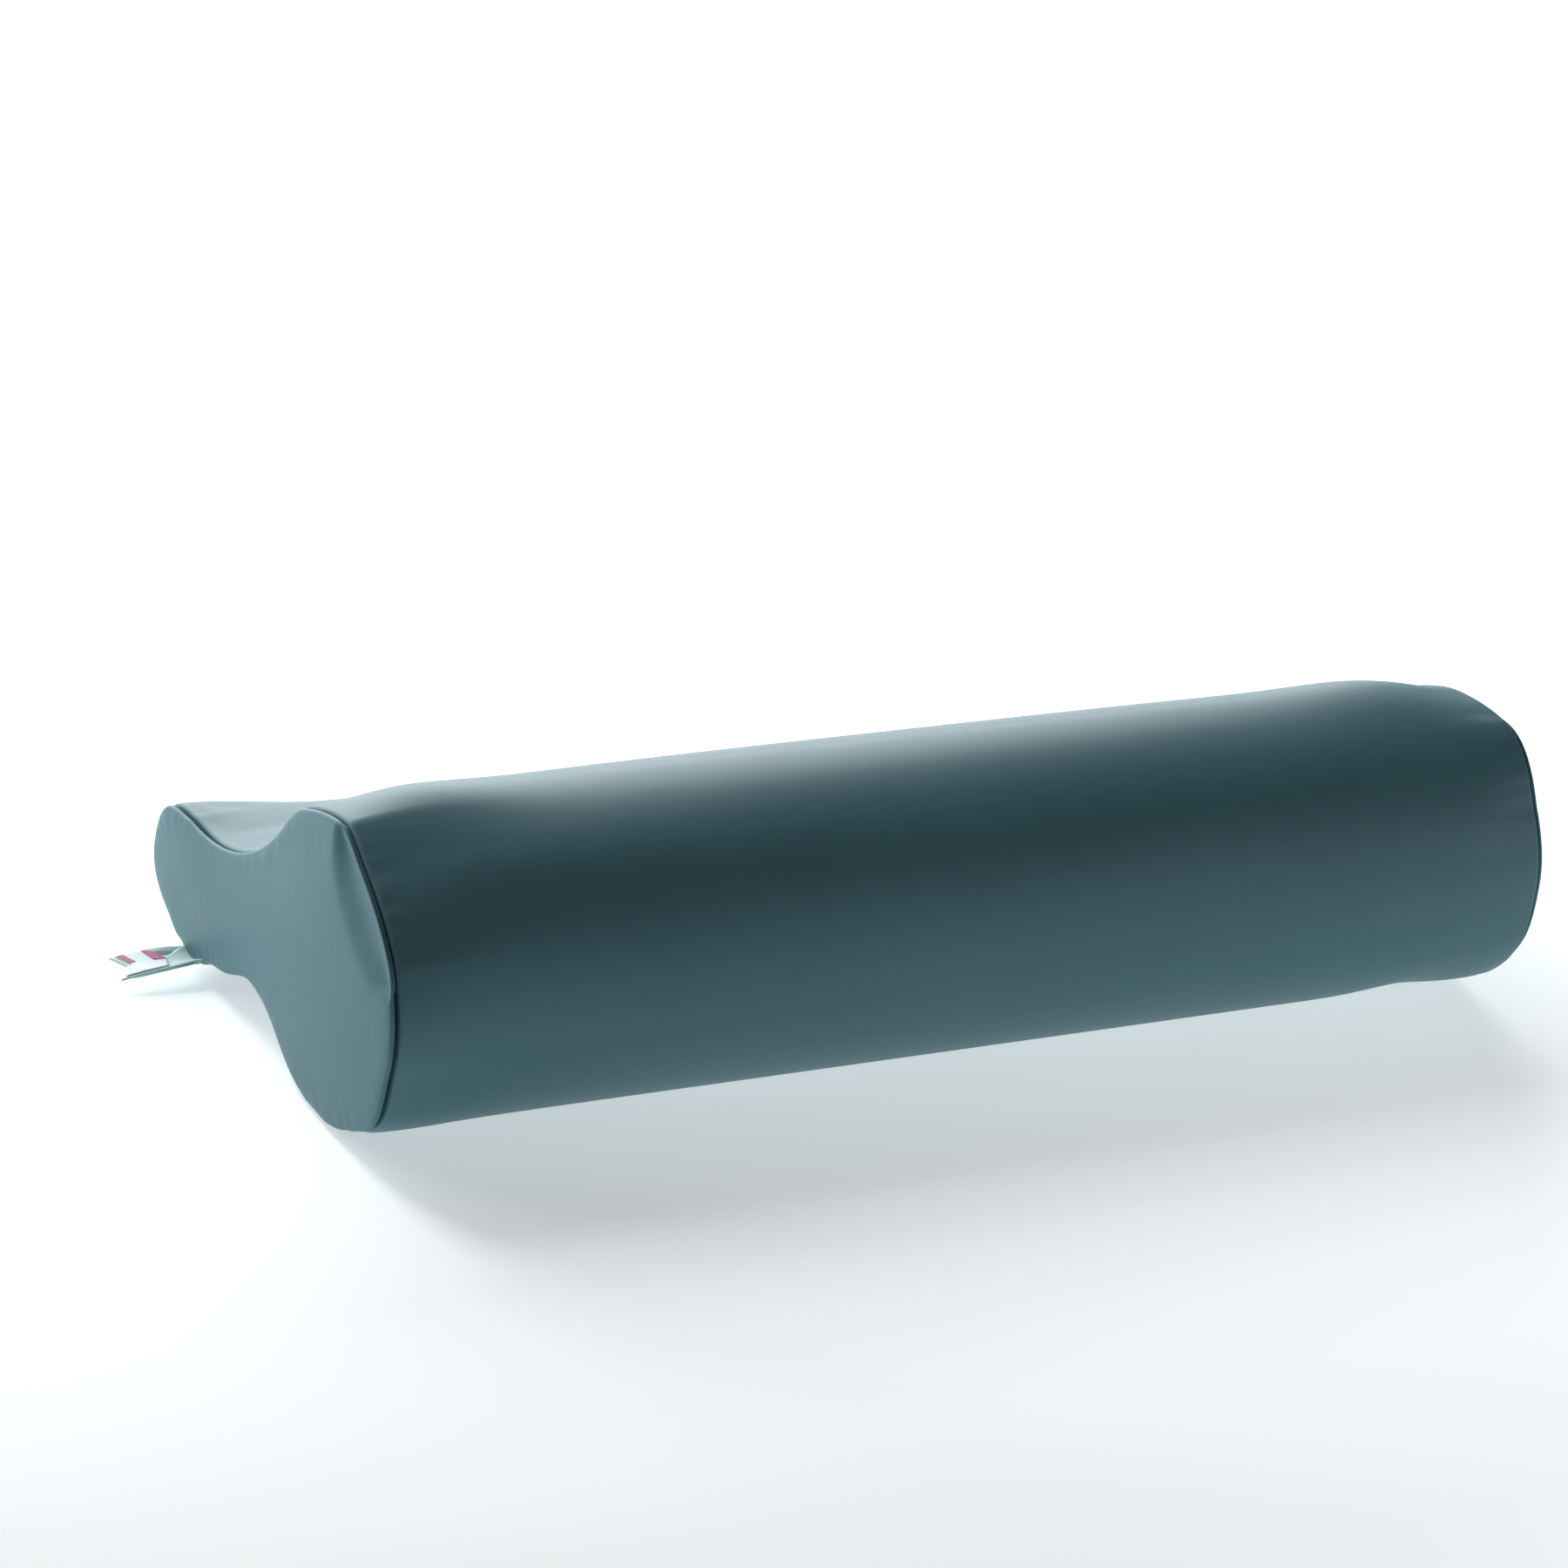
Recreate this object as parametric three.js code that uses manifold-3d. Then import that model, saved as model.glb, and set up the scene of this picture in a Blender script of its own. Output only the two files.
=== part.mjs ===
// A double-roll bolster pillow for a massage table: a big and a small foam roll joined by a waist, in a
// zipped cover of coated fabric with two end panels and a sewn-in pull tab.
// Millimetres, +Z up. X runs along the rolls and Y from the big roll to the small one. The pillow stands
// on both rolls, and the origin is the middle of the big roll's resting strip.
import * as THREE from "three";
import { mergeVertices } from "three/addons/utils/BufferGeometryUtils.js";
import Module from "manifold-3d";

// ---- driving dimensions ----
const seamLength = 640; // between the two end seams
const bigRadius = 80;
const smallRadius = 40;
const rollSpacing = 183; // between the centres of the two rolls
const topHollowRadius = 142; // the long fillet that joins the rolls above
const undersideHollowRadius = 97; // and the one below
const bigRestWidth = 24; // each roll stands on a flat strip of this width
const smallRestWidth = 16;

const endTaperLength = 50; // the rolls narrow over this length before each end seam
const bigRimDrop = 2.6; // by this much of their radius
const smallRimDrop = 1.2;
const endDome = 5; // height of an end panel's middle over its seam
const domeInset = 26; // the dome rises over this distance from the rim
const domeClearance = 1; // kept from the waist's middle line

const coverThickness = 1.2;
const seamAllowance = 8; // both sheets are turned in by this much at the end seams
const hemThickness = 2.4; // an end panel's rim is folded double
const threadThickness = 0.5;
const seamStitchInset = 3; // the end seam's thread runs this far inside the rim
const gap = 0.3; // between neighbouring pieces
const samePoint = 0.01; // closer points are taken as one

const zipOpening = 540; // length of the slot in the cover's underside
const slotClearance = 0.5; // on each side of the slider
const tapeWidth = 14; // of each tape, from the coil outwards
const tapeThickness = 0.6;
const tapeRunOn = 8; // the tapes run on past each end of the slot
const coilWidth = 2.2; // of each row of the coil
const coilHeight = 1.6;
const coilSpacing = 1.4; // between the rows, where the slider's post runs
const stopLength = 3;
const zipStitchMargin = 3; // from the slot's edges to the rows of stitches

const sliderLength = 11;
const sliderTopThickness = 1.5;
const sliderBaseThickness = 1;
const sliderPostLength = 4;
const sliderFlangeThickness = 1.3;
const bridgeLength = 6;
const bridgeWidth = 2.4;
const bridgeHeight = 3;
const bridgeHoleLength = 3.2;
const bridgeHoleHeight = 1.9;
const bridgeStart = 2.5; // from the slider's leading end to its bridge

const pullLength = 18; // from its pivot to its tip
const pullWidth = 6.4;
const pullThickness = 1.2;
const pullWindowLength = 4.6;

const tabLength = 46;
const tabWidth = 26;
const tabAngle = THREE.MathUtils.degToRad(-120); // where it leaves the small roll's rim
const tabInset = 4.8; // from the rim to the middle of the tab
const tabTipHeight = 9; // of its outer end over the ground
const tabNotchDepth = 7;
const labelLength = 30;
const labelWidth = 22;
const labelThickness = 0.4;
const labelClearance = 0.45; // twisted faces are made of flat ones, so they need more than the usual gap
const labelEndMargin = 9; // bare tab between the label and the tip
const labelStitchMargin = 1.5; // from the label's edges to the thread that holds it

// ---- places that follow from them ----
const seamX = seamLength / 2;
const bigCentre = new THREE.Vector2(0, Math.sqrt(bigRadius ** 2 - (bigRestWidth / 2) ** 2));
const smallHeight = Math.sqrt(smallRadius ** 2 - (smallRestWidth / 2) ** 2);
const tilt = Math.asin((bigCentre.y - smallHeight) / rollSpacing);
const along = new THREE.Vector2(Math.cos(tilt), -Math.sin(tilt)); // from the big roll to the small one
const across = new THREE.Vector2(Math.sin(tilt), Math.cos(tilt)); // square to it, towards the top
const smallCentre = bigCentre.clone().addScaledVector(along, rollSpacing);

// Centre of a fillet that touches both rolls, above (side 1) or below (side -1) their centre line.
function filletCentre(rollA, rollB, fillet, side) {
  const a = rollA + fillet;
  const b = rollB + fillet;
  const reach = (a * a - b * b + rollSpacing ** 2) / (2 * rollSpacing);
  const height = Math.sqrt(a * a - reach * reach);
  return bigCentre.clone().addScaledVector(along, reach).addScaledVector(across, side * height);
}

// The rim's radius drop at a place along the rolls, from none to the whole drop at the end seam.
function taper(x, drop) {
  const past = Math.min(1, Math.max(0, 1 - (seamX - Math.abs(x)) / endTaperLength));
  return drop * (1 - Math.sqrt(1 - past * past));
}

// ---- outlines ----
function arc(centre, radius, from, to, steps) {
  const clockwise = to < from;
  return new THREE.EllipseCurve(centre.x, centre.y, radius, radius, from, to, clockwise).getPoints(steps);
}

function angleTo(from, to) {
  return Math.atan2(to.y - from.y, to.x - from.x);
}

// How many chords each arc of the section is drawn with, in the order that they follow one another.
const chords = { bigFront: 3, under: 14, smallFront: 3, smallBack: 16, top: 9, bigBack: 26 };

// Section of the pillow at x as (y, z) points, counterclockwise seen from +X, moved inwards by inset.
// Every section has the same number of points, so that sections can be joined one to the next.
function section(x, inset) {
  const big = bigRadius - taper(x, bigRimDrop);
  const small = smallRadius - taper(x, smallRimDrop);
  const top = filletCentre(big, small, topHollowRadius, 1);
  const under = filletCentre(big, small, undersideHollowRadius, -1);
  const down = -Math.PI / 2;
  const bigRest = Math.asin(bigRestWidth / 2 / bigRadius);
  const smallRest = Math.asin(smallRestWidth / 2 / smallRadius);
  const full = 2 * Math.PI;
  const underStart = angleTo(under, bigCentre);
  const underEnd = angleTo(under, smallCentre);
  const pieces = [
    arc(bigCentre, big - inset, down + bigRest, angleTo(bigCentre, under), chords.bigFront),
    arc(under, undersideHollowRadius + inset, underStart, underEnd, chords.under),
    arc(smallCentre, small - inset, angleTo(smallCentre, under), down - smallRest, chords.smallFront),
    arc(smallCentre, small - inset, down + smallRest, angleTo(smallCentre, top), chords.smallBack),
    arc(top, topHollowRadius + inset, angleTo(top, smallCentre), angleTo(top, bigCentre), chords.top),
    arc(bigCentre, big - inset, angleTo(bigCentre, top), full + down - bigRest, chords.bigBack),
  ];
  const points = [];
  for (const piece of pieces) {
    for (const point of piece) {
      const last = points[points.length - 1];
      if (!last || last.distanceTo(point) > samePoint) points.push(point);
    }
  }
  return points;
}

function ring(x, inset, sectionX = x) {
  return section(sectionX, inset).map((point) => new THREE.Vector3(x, point.x, point.y));
}

// ---- solids ----
// Joins rings of equal length into one closed body. The ends get flat caps, or meet when it is a loop.
function loft(rings, isLoop = false) {
  const count = rings[0].length;
  const positions = rings.flatMap((points) => points.flatMap((point) => point.toArray()));
  const indices = [];
  const spans = isLoop ? rings.length : rings.length - 1;
  for (let i = 0; i < spans; i++) {
    const next = (i + 1) % rings.length;
    for (let j = 0; j < count; j++) {
      const k = (j + 1) % count;
      indices.push(i * count + j, i * count + k, next * count + k);
      indices.push(i * count + j, next * count + k, next * count + j);
    }
  }
  if (!isLoop) {
    const last = (rings.length - 1) * count;
    const capOf = (points) =>
      THREE.ShapeUtils.triangulateShape(points.map((point) => new THREE.Vector2(point.y, point.z)), []);
    for (const [a, b, c] of capOf(rings[0])) indices.push(a, c, b);
    for (const [a, b, c] of capOf(rings[rings.length - 1])) indices.push(last + a, last + b, last + c);
  }
  const geometry = new THREE.BufferGeometry();
  geometry.setAttribute("position", new THREE.Float32BufferAttribute(positions, 3));
  geometry.setIndex(indices);
  return geometry;
}

// A prism along X from x0 to x1 over counterclockwise (y, z) points.
function prism(points, x0, x1) {
  const at = (x) => points.map(([y, z]) => new THREE.Vector3(x, y, z));
  return loft([at(x0), at(x1)]);
}

function box(x0, x1, y0, y1, z0, z1) {
  const geometry = new THREE.BoxGeometry(x1 - x0, y1 - y0, z1 - z0);
  return geometry.translate((x0 + x1) / 2, (y0 + y1) / 2, (z0 + z1) / 2);
}

const weldDistance = 1e-4;
const wasm = await Module();
wasm.setup();

function toSolid(geometry) {
  const bare = geometry.clone();
  bare.deleteAttribute("normal");
  bare.deleteAttribute("uv");
  const merged = mergeVertices(bare, weldDistance);
  return new wasm.Manifold(
    new wasm.Mesh({
      numProp: 3,
      vertProperties: merged.attributes.position.array,
      triVerts: new Uint32Array(merged.index.array),
    }),
  );
}

function toGeometry(solid) {
  const { vertProperties, triVerts } = solid.getMesh();
  const geometry = new THREE.BufferGeometry();
  geometry.setAttribute("position", new THREE.BufferAttribute(vertProperties, 3));
  geometry.setIndex(new THREE.BufferAttribute(triVerts, 1));
  return geometry;
}

function cut(geometry, ...tools) {
  return toGeometry(tools.reduce((solid, tool) => solid.subtract(toSolid(tool)), toSolid(geometry)));
}

function join(...geometries) {
  return toGeometry(geometries.map(toSolid).reduce((whole, part) => whole.add(part)));
}

// ---- materials ----
const surface = (color, roughness, metalness = 0) => ({ color, roughness, metalness });
const coatedFabric = surface(0x6b8e96, 0.42);
const foam = surface(0xe9e4d2, 0.95);
const thread = surface(0x5c7c84, 0.8);
const tapeCloth = surface(0x56757d, 0.9);
const nylon = surface(0x4f6c74, 0.5);
const nickel = surface(0xb9bcbc, 0.3, 1);
const tabFabric = surface(0xb9d2d1, 0.45);
const satin = surface(0xe6ebec, 0.55);

function part(name, geometry, look, parent = pillow) {
  geometry.computeVertexNormals();
  const mesh = new THREE.Mesh(geometry, new THREE.MeshStandardMaterial(look));
  mesh.name = name;
  parent.add(mesh);
  return mesh;
}

const pillow = new THREE.Group();

// ---- the cover's ends ----
// The dome's flat middle has to fit inside the waist, which is the narrowest place of the end panel.
const rimBig = bigRadius - bigRimDrop;
const rimSmall = smallRadius - smallRimDrop;
const rimTop = filletCentre(rimBig, rimSmall, topHollowRadius, 1);
const rimUnder = filletCentre(rimBig, rimSmall, undersideHollowRadius, -1);
const waist = rimTop.distanceTo(rimUnder) - topHollowRadius - undersideHollowRadius;
const domeReach = Math.min(domeInset, waist / 2 - domeClearance);
const domeSteps = [0, 3, seamAllowance, (seamAllowance + domeReach) / 2, domeReach];

// Height of the outer face of an end panel over its seam, at a distance inside the rim.
function domeHeight(inset) {
  const past = 1 - Math.min(1, inset / domeReach);
  const rim = gap + hemThickness;
  return rim + (endDome - rim) * Math.sqrt(1 - past * past);
}

// One side's rings are given for the right end and mirrored for the left one, where their order turns.
function atEnd(side, rings) {
  const placed = rings.map(([offset, inset]) => ring(side * (seamX + offset), inset, side * seamX));
  return side > 0 ? placed : placed.reverse();
}

function endPanelRings(side) {
  const outer = domeSteps.map((inset) => [domeHeight(inset), inset]);
  const hem = [
    [gap, seamAllowance],
    [gap, 0],
  ];
  const inner = domeSteps
    .filter((inset) => inset >= seamAllowance)
    .map((inset) => [domeHeight(inset) - coverThickness, inset]);
  return atEnd(side, [...inner.reverse(), ...hem, ...outer]);
}

// ---- cover ----
// Rings stand closer together where the taper turns in to the seam.
const taperSteps = [0, 3, 14, endTaperLength];
const bodyStations = taperSteps.map((distance) => seamX - distance);
const stations = [...bodyStations.map((x) => -x), ...bodyStations.reverse()];

function wrapPanel() {
  const outer = stations.map((x) => ring(x, 0));
  const allowance = seamX - coverThickness;
  const inner = stations
    .map((x) => Math.max(-allowance, Math.min(allowance, x)))
    .reverse()
    .map((x) => ring(x, coverThickness));
  const rightTurn = [ring(seamX, seamAllowance), ring(allowance, seamAllowance, seamX)];
  const leftTurn = [ring(-allowance, seamAllowance, seamX), ring(-seamX, seamAllowance)];
  return loft([...outer, ...rightTurn, ...inner, ...leftTurn], true);
}

// ---- core ----
const foamInset = coverThickness + gap;
const threadRoom = gap + threadThickness + gap;
const foamEndX = seamX - coverThickness - threadRoom;

function foamCore() {
  const raised = domeSteps
    .filter((inset) => inset > seamAllowance)
    .map((inset) => [domeHeight(inset) - coverThickness - gap, inset]);
  const shoulder = [
    [foamEndX - seamX, foamInset],
    [foamEndX - seamX, seamAllowance + gap],
    [domeHeight(seamAllowance) - coverThickness - gap, seamAllowance + gap],
  ];
  const rightEnd = atEnd(1, [...shoulder, ...raised]);
  const leftEnd = atEnd(-1, [...shoulder, ...raised]);
  const body = stations.slice(1, -1).map((x) => ring(x, foamInset));
  return loft([...leftEnd, ...body, ...rightEnd]);
}

// ---- the zip, in the hollow under the waist ----
// Its own frame stands in the middle of that hollow: y runs across the zip towards the small roll, and z
// is the depth into the pillow, with the cover's outer face at 0.
const hollowCentre = filletCentre(bigRadius, smallRadius, undersideHollowRadius, -1);
const zipOrigin = hollowCentre.clone().addScaledVector(across, undersideHollowRadius);
const zip = new THREE.Group();
zip.position.set(0, zipOrigin.x, zipOrigin.y);
zip.rotation.x = -tilt;
pillow.add(zip);

const stripChords = 4;

// A strip along X that follows the hollow's curve, between two places across it and two depths.
function hollowStrip(y0, y1, depth0, depth1, x0, x1) {
  const centre = new THREE.Vector2(0, -undersideHollowRadius);
  const angleAt = (y) => Math.PI / 2 - y / undersideHollowRadius;
  const inner = arc(centre, undersideHollowRadius + depth1, angleAt(y1), angleAt(y0), stripChords);
  const outer = arc(centre, undersideHollowRadius + depth0, angleAt(y0), angleAt(y1), stripChords);
  return prism([...outer, ...inner].map((point) => [point.x, point.y]), x0, x1);
}

const slotX = zipOpening / 2;
const coilTop = coverThickness - coilHeight; // the coil stands a little proud of the cover
const tapeDepth = coverThickness + gap;
const tapeX = slotX + tapeRunOn;
const rowX = slotX - stopLength - 2 * gap;
const rowInner = coilSpacing / 2;
const rowOuter = rowInner + coilWidth;
const tapeOuter = rowInner + tapeWidth;

// A copy of a zip-frame geometry in the pillow's frame, for cutting the cover and the core.
function fromZip(geometry) {
  zip.updateMatrix();
  return geometry.clone().applyMatrix4(zip.matrix);
}

const sliderHalf = rowOuter + gap + sliderFlangeThickness;
const slotHalf = sliderHalf + slotClearance;
const zipStitchOffset = slotHalf + zipStitchMargin;
const cutMargin = 8; // cutting bodies reach this far past what they cut
const foamMargin = 2;
const slotCut = fromZip(box(-slotX, slotX, -slotHalf, slotHalf, -cutMargin, cutMargin));
part("wrap_panel", cut(wrapPanel(), slotCut), coatedFabric);

const baseDepth = tapeDepth + tapeThickness + gap;
const foamRelief = fromZip(
  hollowStrip(-tapeOuter - gap, tapeOuter + gap, -foamMargin, baseDepth, -tapeX - gap, tapeX + gap),
);
const channelDepth = baseDepth + sliderBaseThickness + gap;
const foamChannel = fromZip(box(-slotX, slotX, -slotHalf, slotHalf, -foamMargin, channelDepth));
part("foam_core", cut(foamCore(), foamRelief, foamChannel), foam);

for (const [side, name] of [[-1, "front"], [1, "back"]]) {
  const strip = (inner, outer, depth0, depth1, x) =>
    side > 0
      ? hollowStrip(inner, outer, depth0, depth1, -x, x)
      : hollowStrip(-outer, -inner, depth0, depth1, -x, x);
  const tapeFar = tapeDepth + tapeThickness;
  part(`zip_tape_${name}`, strip(rowInner, tapeOuter, tapeDepth, tapeFar, tapeX), tapeCloth, zip);
  part(`zip_coil_${name}`, strip(rowInner, rowOuter, coilTop, coverThickness, rowX), nylon, zip);
  const half = threadThickness / 2;
  part(
    `zip_stitching_${name}`,
    strip(zipStitchOffset - half, zipStitchOffset + half, -gap - threadThickness, -gap, slotX),
    thread,
    zip,
  );
}

// Both rows end at a stop: one that bridges them at the far end, and a pair at the end that the slider
// closes to.
function stop(name, x0, y0, y1) {
  part(name, box(x0, x0 + stopLength, y0, y1, coilTop, coverThickness), nickel, zip);
}
stop("zip_bottom_stop", rowX + gap, -rowOuter, rowOuter);
stop("zip_top_stop_front", -rowX - gap - stopLength, -rowOuter, -rowInner);
stop("zip_top_stop_back", -rowX - gap - stopLength, rowInner, rowOuter);

// ---- slider and pull, closed ----
const sliderX = -rowX;
const sliderTop = coilTop - gap - sliderTopThickness;
const overlap = 0.5; // the slider's boxes run into one another by this much before they are joined

function slider() {
  const half = sliderHalf;
  const plateZ = coilTop - gap;
  const flangeZ = tapeDepth - 2 * gap;
  const x1 = sliderX + sliderLength;
  const top = box(sliderX, x1, -half, half, sliderTop, plateZ);
  const base = box(sliderX, x1, -half, half, baseDepth, baseDepth + sliderBaseThickness);
  const postHalf = rowInner - gap;
  const postEndX = sliderX + sliderPostLength;
  const post = box(sliderX, postEndX, -postHalf, postHalf, plateZ - overlap, baseDepth + overlap);
  const flanges = [-1, 1].map((side) => {
    const outer = side * half;
    const inner = side * (half - sliderFlangeThickness);
    return box(sliderX, x1, Math.min(outer, inner), Math.max(outer, inner), sliderTop + overlap, flangeZ);
  });
  const bridgeX = sliderX + bridgeStart;
  const bridgeEndX = bridgeX + bridgeLength;
  const bridgeHalf = bridgeWidth / 2;
  const bridge = box(
    bridgeX, bridgeEndX, -bridgeHalf, bridgeHalf, sliderTop - bridgeHeight, sliderTop + overlap,
  );
  const holeX = bridgeX + (bridgeLength - bridgeHoleLength) / 2;
  const holeEndX = holeX + bridgeHoleLength;
  const hole = box(holeX, holeEndX, -bridgeWidth, bridgeWidth, sliderTop - bridgeHoleHeight, sliderTop);
  return cut(join(top, base, post, ...flanges, bridge), hole);
}
part("zip_slider", slider(), nickel, zip);

const pivotX = sliderX + bridgeStart + bridgeLength / 2;
const pivotZ = sliderTop - bridgeHoleHeight / 2;

const pullTipChords = 8; // in each half of its rounded tip

// The pull's end bar runs under the bridge and turns there. The pull hangs from it, clear of the ground.
function pull() {
  const half = pullWidth / 2;
  const bar = pullThickness / 2;
  const outline = new THREE.Shape();
  outline.moveTo(-bar, -half);
  outline.lineTo(pullLength - half, -half);
  outline.absarc(pullLength - half, 0, half, -Math.PI / 2, Math.PI / 2, false);
  outline.lineTo(-bar, half);
  outline.closePath();
  const windowHalf = bridgeWidth / 2 + 2 * gap;
  const window = new THREE.Path();
  window.moveTo(bar, -windowHalf);
  window.lineTo(bar, windowHalf);
  window.lineTo(bar + pullWindowLength, windowHalf);
  window.lineTo(bar + pullWindowLength, -windowHalf);
  window.closePath();
  outline.holes.push(window);
  const options = { depth: pullThickness, bevelEnabled: false, curveSegments: pullTipChords };
  return new THREE.ExtrudeGeometry(outline, options).translate(0, 0, -pullThickness / 2);
}
const pullMesh = part("zip_pull", pull(), nickel, zip);
pullMesh.position.set(pivotX, 0, pivotZ);
pullMesh.rotation.y = Math.PI / 2;

// ---- pull tab and its label ----
// The tab leaves the left seam square to the rim and levels out towards its tip.
const tabRoot = new THREE.Vector2(Math.cos(tabAngle), Math.sin(tabAngle))
  .multiplyScalar(rimSmall - tabInset)
  .add(smallCentre);
const rootTurn = tabAngle + Math.PI / 2;
const tabRootX = -seamX - gap;
const slatSpacing = 1;

// A slat across the tab's middle line at a distance out from its root, from below to above its face.
function tabSlat(distance, width, below, above) {
  const share = distance / tabLength;
  const turn = rootTurn * (1 - share) ** 2;
  const middleZ = THREE.MathUtils.lerp(tabRoot.y, tabTipHeight, share);
  const corners = [
    [-width / 2, below],
    [width / 2, below],
    [width / 2, above],
    [-width / 2, above],
  ];
  return corners.map(([y, z]) => {
    const turned = new THREE.Vector2(y, z).rotateAround(new THREE.Vector2(), turn);
    return new THREE.Vector3(tabRootX - distance, tabRoot.x + turned.x, middleZ + turned.y);
  });
}

// Slats stand at the same places for every strip, so that strips laid on one another follow the same twist.
function tabStrip(from, to, width, below, above) {
  const closest = slatSpacing / 10;
  const distances = [to];
  for (let i = Math.ceil(to / slatSpacing); i >= from / slatSpacing; i--) {
    const distance = i * slatSpacing;
    if (distance < to - closest && distance > from + closest) distances.push(distance);
  }
  distances.push(from);
  return loft(distances.map((distance) => tabSlat(distance, width, below, above)));
}

const tabHalf = coverThickness / 2;
const slitLength = endDome + 2; // through the left end panel
const tabSlit = tabStrip(-2 * gap, slitLength, tabWidth + 2 * gap, -tabHalf - gap, tabHalf + gap);
part("right_end_panel", loft(endPanelRings(1)), coatedFabric);
part("left_end_panel", cut(loft(endPanelRings(-1)), tabSlit), coatedFabric);

const threadStart = coverThickness + gap;
for (const [side, name] of [[-1, "left"], [1, "right"]]) {
  const near = side * (seamX - threadStart);
  const far = side * (seamX - threadStart - threadThickness);
  const [x0, x1] = side > 0 ? [far, near] : [near, far];
  const inset = seamStitchInset + threadThickness;
  const loop = [
    ring(x0, seamStitchInset, seamX),
    ring(x1, seamStitchInset, seamX),
    ring(x1, inset, seamX),
    ring(x0, inset, seamX),
  ];
  part(`${name}_seam_thread`, loft(loop, true), thread);
}

const tipX = tabRootX - tabLength;
const notchMargin = 1; // the notch is cut from this far outside the tab
const notchHalf = tabWidth / 2 + notchMargin;
const notchHeight = 30; // more than the tab's height over the ground
const notch = new THREE.Shape([
  new THREE.Vector2(tipX - notchMargin, tabRoot.x - notchHalf),
  new THREE.Vector2(tipX + tabNotchDepth, tabRoot.x),
  new THREE.Vector2(tipX - notchMargin, tabRoot.x + notchHalf),
]);
const notchCut = new THREE.ExtrudeGeometry(notch, { depth: notchHeight, bevelEnabled: false });
part("pull_tab", cut(tabStrip(0, tabLength, tabWidth, -tabHalf, tabHalf), notchCut), tabFabric);

const labelBelow = tabHalf + labelClearance;
const labelAbove = labelBelow + labelThickness;
const labelEnd = tabLength - labelEndMargin;
part("woven_label", tabStrip(labelEnd - labelLength, labelEnd, labelWidth, labelBelow, labelAbove), satin);
const stitchAt = labelEnd - labelLength + labelStitchMargin;
const stitchLength = labelWidth - 2 * labelStitchMargin;
const stitchBelow = labelAbove + gap;
part(
  "label_stitching",
  tabStrip(stitchAt, stitchAt + threadThickness, stitchLength, stitchBelow, stitchBelow + threadThickness),
  thread,
);

export default pillow;
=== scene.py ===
import math

import bmesh
import bpy
import numpy as np
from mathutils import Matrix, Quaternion, Vector, kdtree
from mathutils.geometry import delaunay_2d_cdt


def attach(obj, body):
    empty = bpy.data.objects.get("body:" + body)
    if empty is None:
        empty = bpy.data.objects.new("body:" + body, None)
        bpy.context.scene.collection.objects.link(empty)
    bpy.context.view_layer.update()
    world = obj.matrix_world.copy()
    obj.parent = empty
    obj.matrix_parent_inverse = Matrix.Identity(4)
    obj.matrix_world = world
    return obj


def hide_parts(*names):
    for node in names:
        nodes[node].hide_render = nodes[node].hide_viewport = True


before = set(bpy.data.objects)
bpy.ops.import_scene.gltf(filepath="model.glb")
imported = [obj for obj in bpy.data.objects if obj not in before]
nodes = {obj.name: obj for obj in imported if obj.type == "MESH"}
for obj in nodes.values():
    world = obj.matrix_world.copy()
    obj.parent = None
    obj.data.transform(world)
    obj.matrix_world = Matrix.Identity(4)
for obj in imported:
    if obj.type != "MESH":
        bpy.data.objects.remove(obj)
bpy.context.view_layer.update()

# A double-roll massage bolster in teal coated fabric. Lengths are in metres, and mm turns millimetres
# into metres. X runs along the rolls, Y from the big roll to the small one, Z is up.
mm = 0.001
samePlace = 0.01 * mm  # two places this close are one
scene = bpy.context.scene

# ---- camera ----
cameraView = {
    "lookAt": (0.0, 0.153056, 0.072436),
    "distance": 2.8817,
    "azimuth": -29.26,
    "elevation": 23.57,
    "roll": 6.136,  # the camera is turned with the pillow, which stands on both of its rolls here
    "lens": 126.48,
}


def addCamera():
    azimuth = math.radians(cameraView["azimuth"])
    elevation = math.radians(cameraView["elevation"])
    back = Vector((
        math.sin(azimuth) * math.cos(elevation),
        -math.cos(azimuth) * math.cos(elevation),
        math.sin(elevation),
    ))
    camera = bpy.data.objects.new("camera", bpy.data.cameras.new("camera"))
    camera.data.lens = cameraView["lens"]
    camera.data.sensor_width = 36
    camera.rotation_mode = "QUATERNION"
    camera.location = Vector(cameraView["lookAt"]) + back * cameraView["distance"]
    roll = Quaternion((0, 0, 1), math.radians(cameraView["roll"]))
    camera.rotation_quaternion = (-back).to_track_quat("-Z", "Y") @ roll
    scene.collection.objects.link(camera)
    scene.camera = camera


addCamera()
print("camera ready")

# ---- the pillow's measures, as in the frame ----
pillow = {
    "seamX": 320 * mm,
    "bigRadius": 80 * mm,
    "smallRadius": 40 * mm,
    "rollSpacing": 183 * mm,
    "topHollow": 142 * mm,
    "underHollow": 97 * mm,
    "bigRest": 24 * mm,
    "smallRest": 16 * mm,
    "fabric": 1.2 * mm,
    "zipOpening": 540 * mm,
}
seamX = pillow["seamX"]
bigZ = math.sqrt(pillow["bigRadius"] ** 2 - (pillow["bigRest"] / 2) ** 2)
smallZ = math.sqrt(pillow["smallRadius"] ** 2 - (pillow["smallRest"] / 2) ** 2)
zipHalf = pillow["zipOpening"] / 2
tilt = math.asin((bigZ - smallZ) / pillow["rollSpacing"])
along = np.array([math.cos(tilt), -math.sin(tilt)])  # in (y, z), from the big roll to the small one
across = np.array([math.sin(tilt), math.cos(tilt)])
bigCentre = np.array([0.0, bigZ])
smallCentre = bigCentre + along * pillow["rollSpacing"]


def smooth(value, start, end):
    t = np.clip((np.asarray(value, float) - start) / (end - start), 0, 1)
    return t * t * (3 - 2 * t)


def angleTo(a, b):
    return math.atan2(b[1] - a[1], b[0] - a[0])


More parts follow.
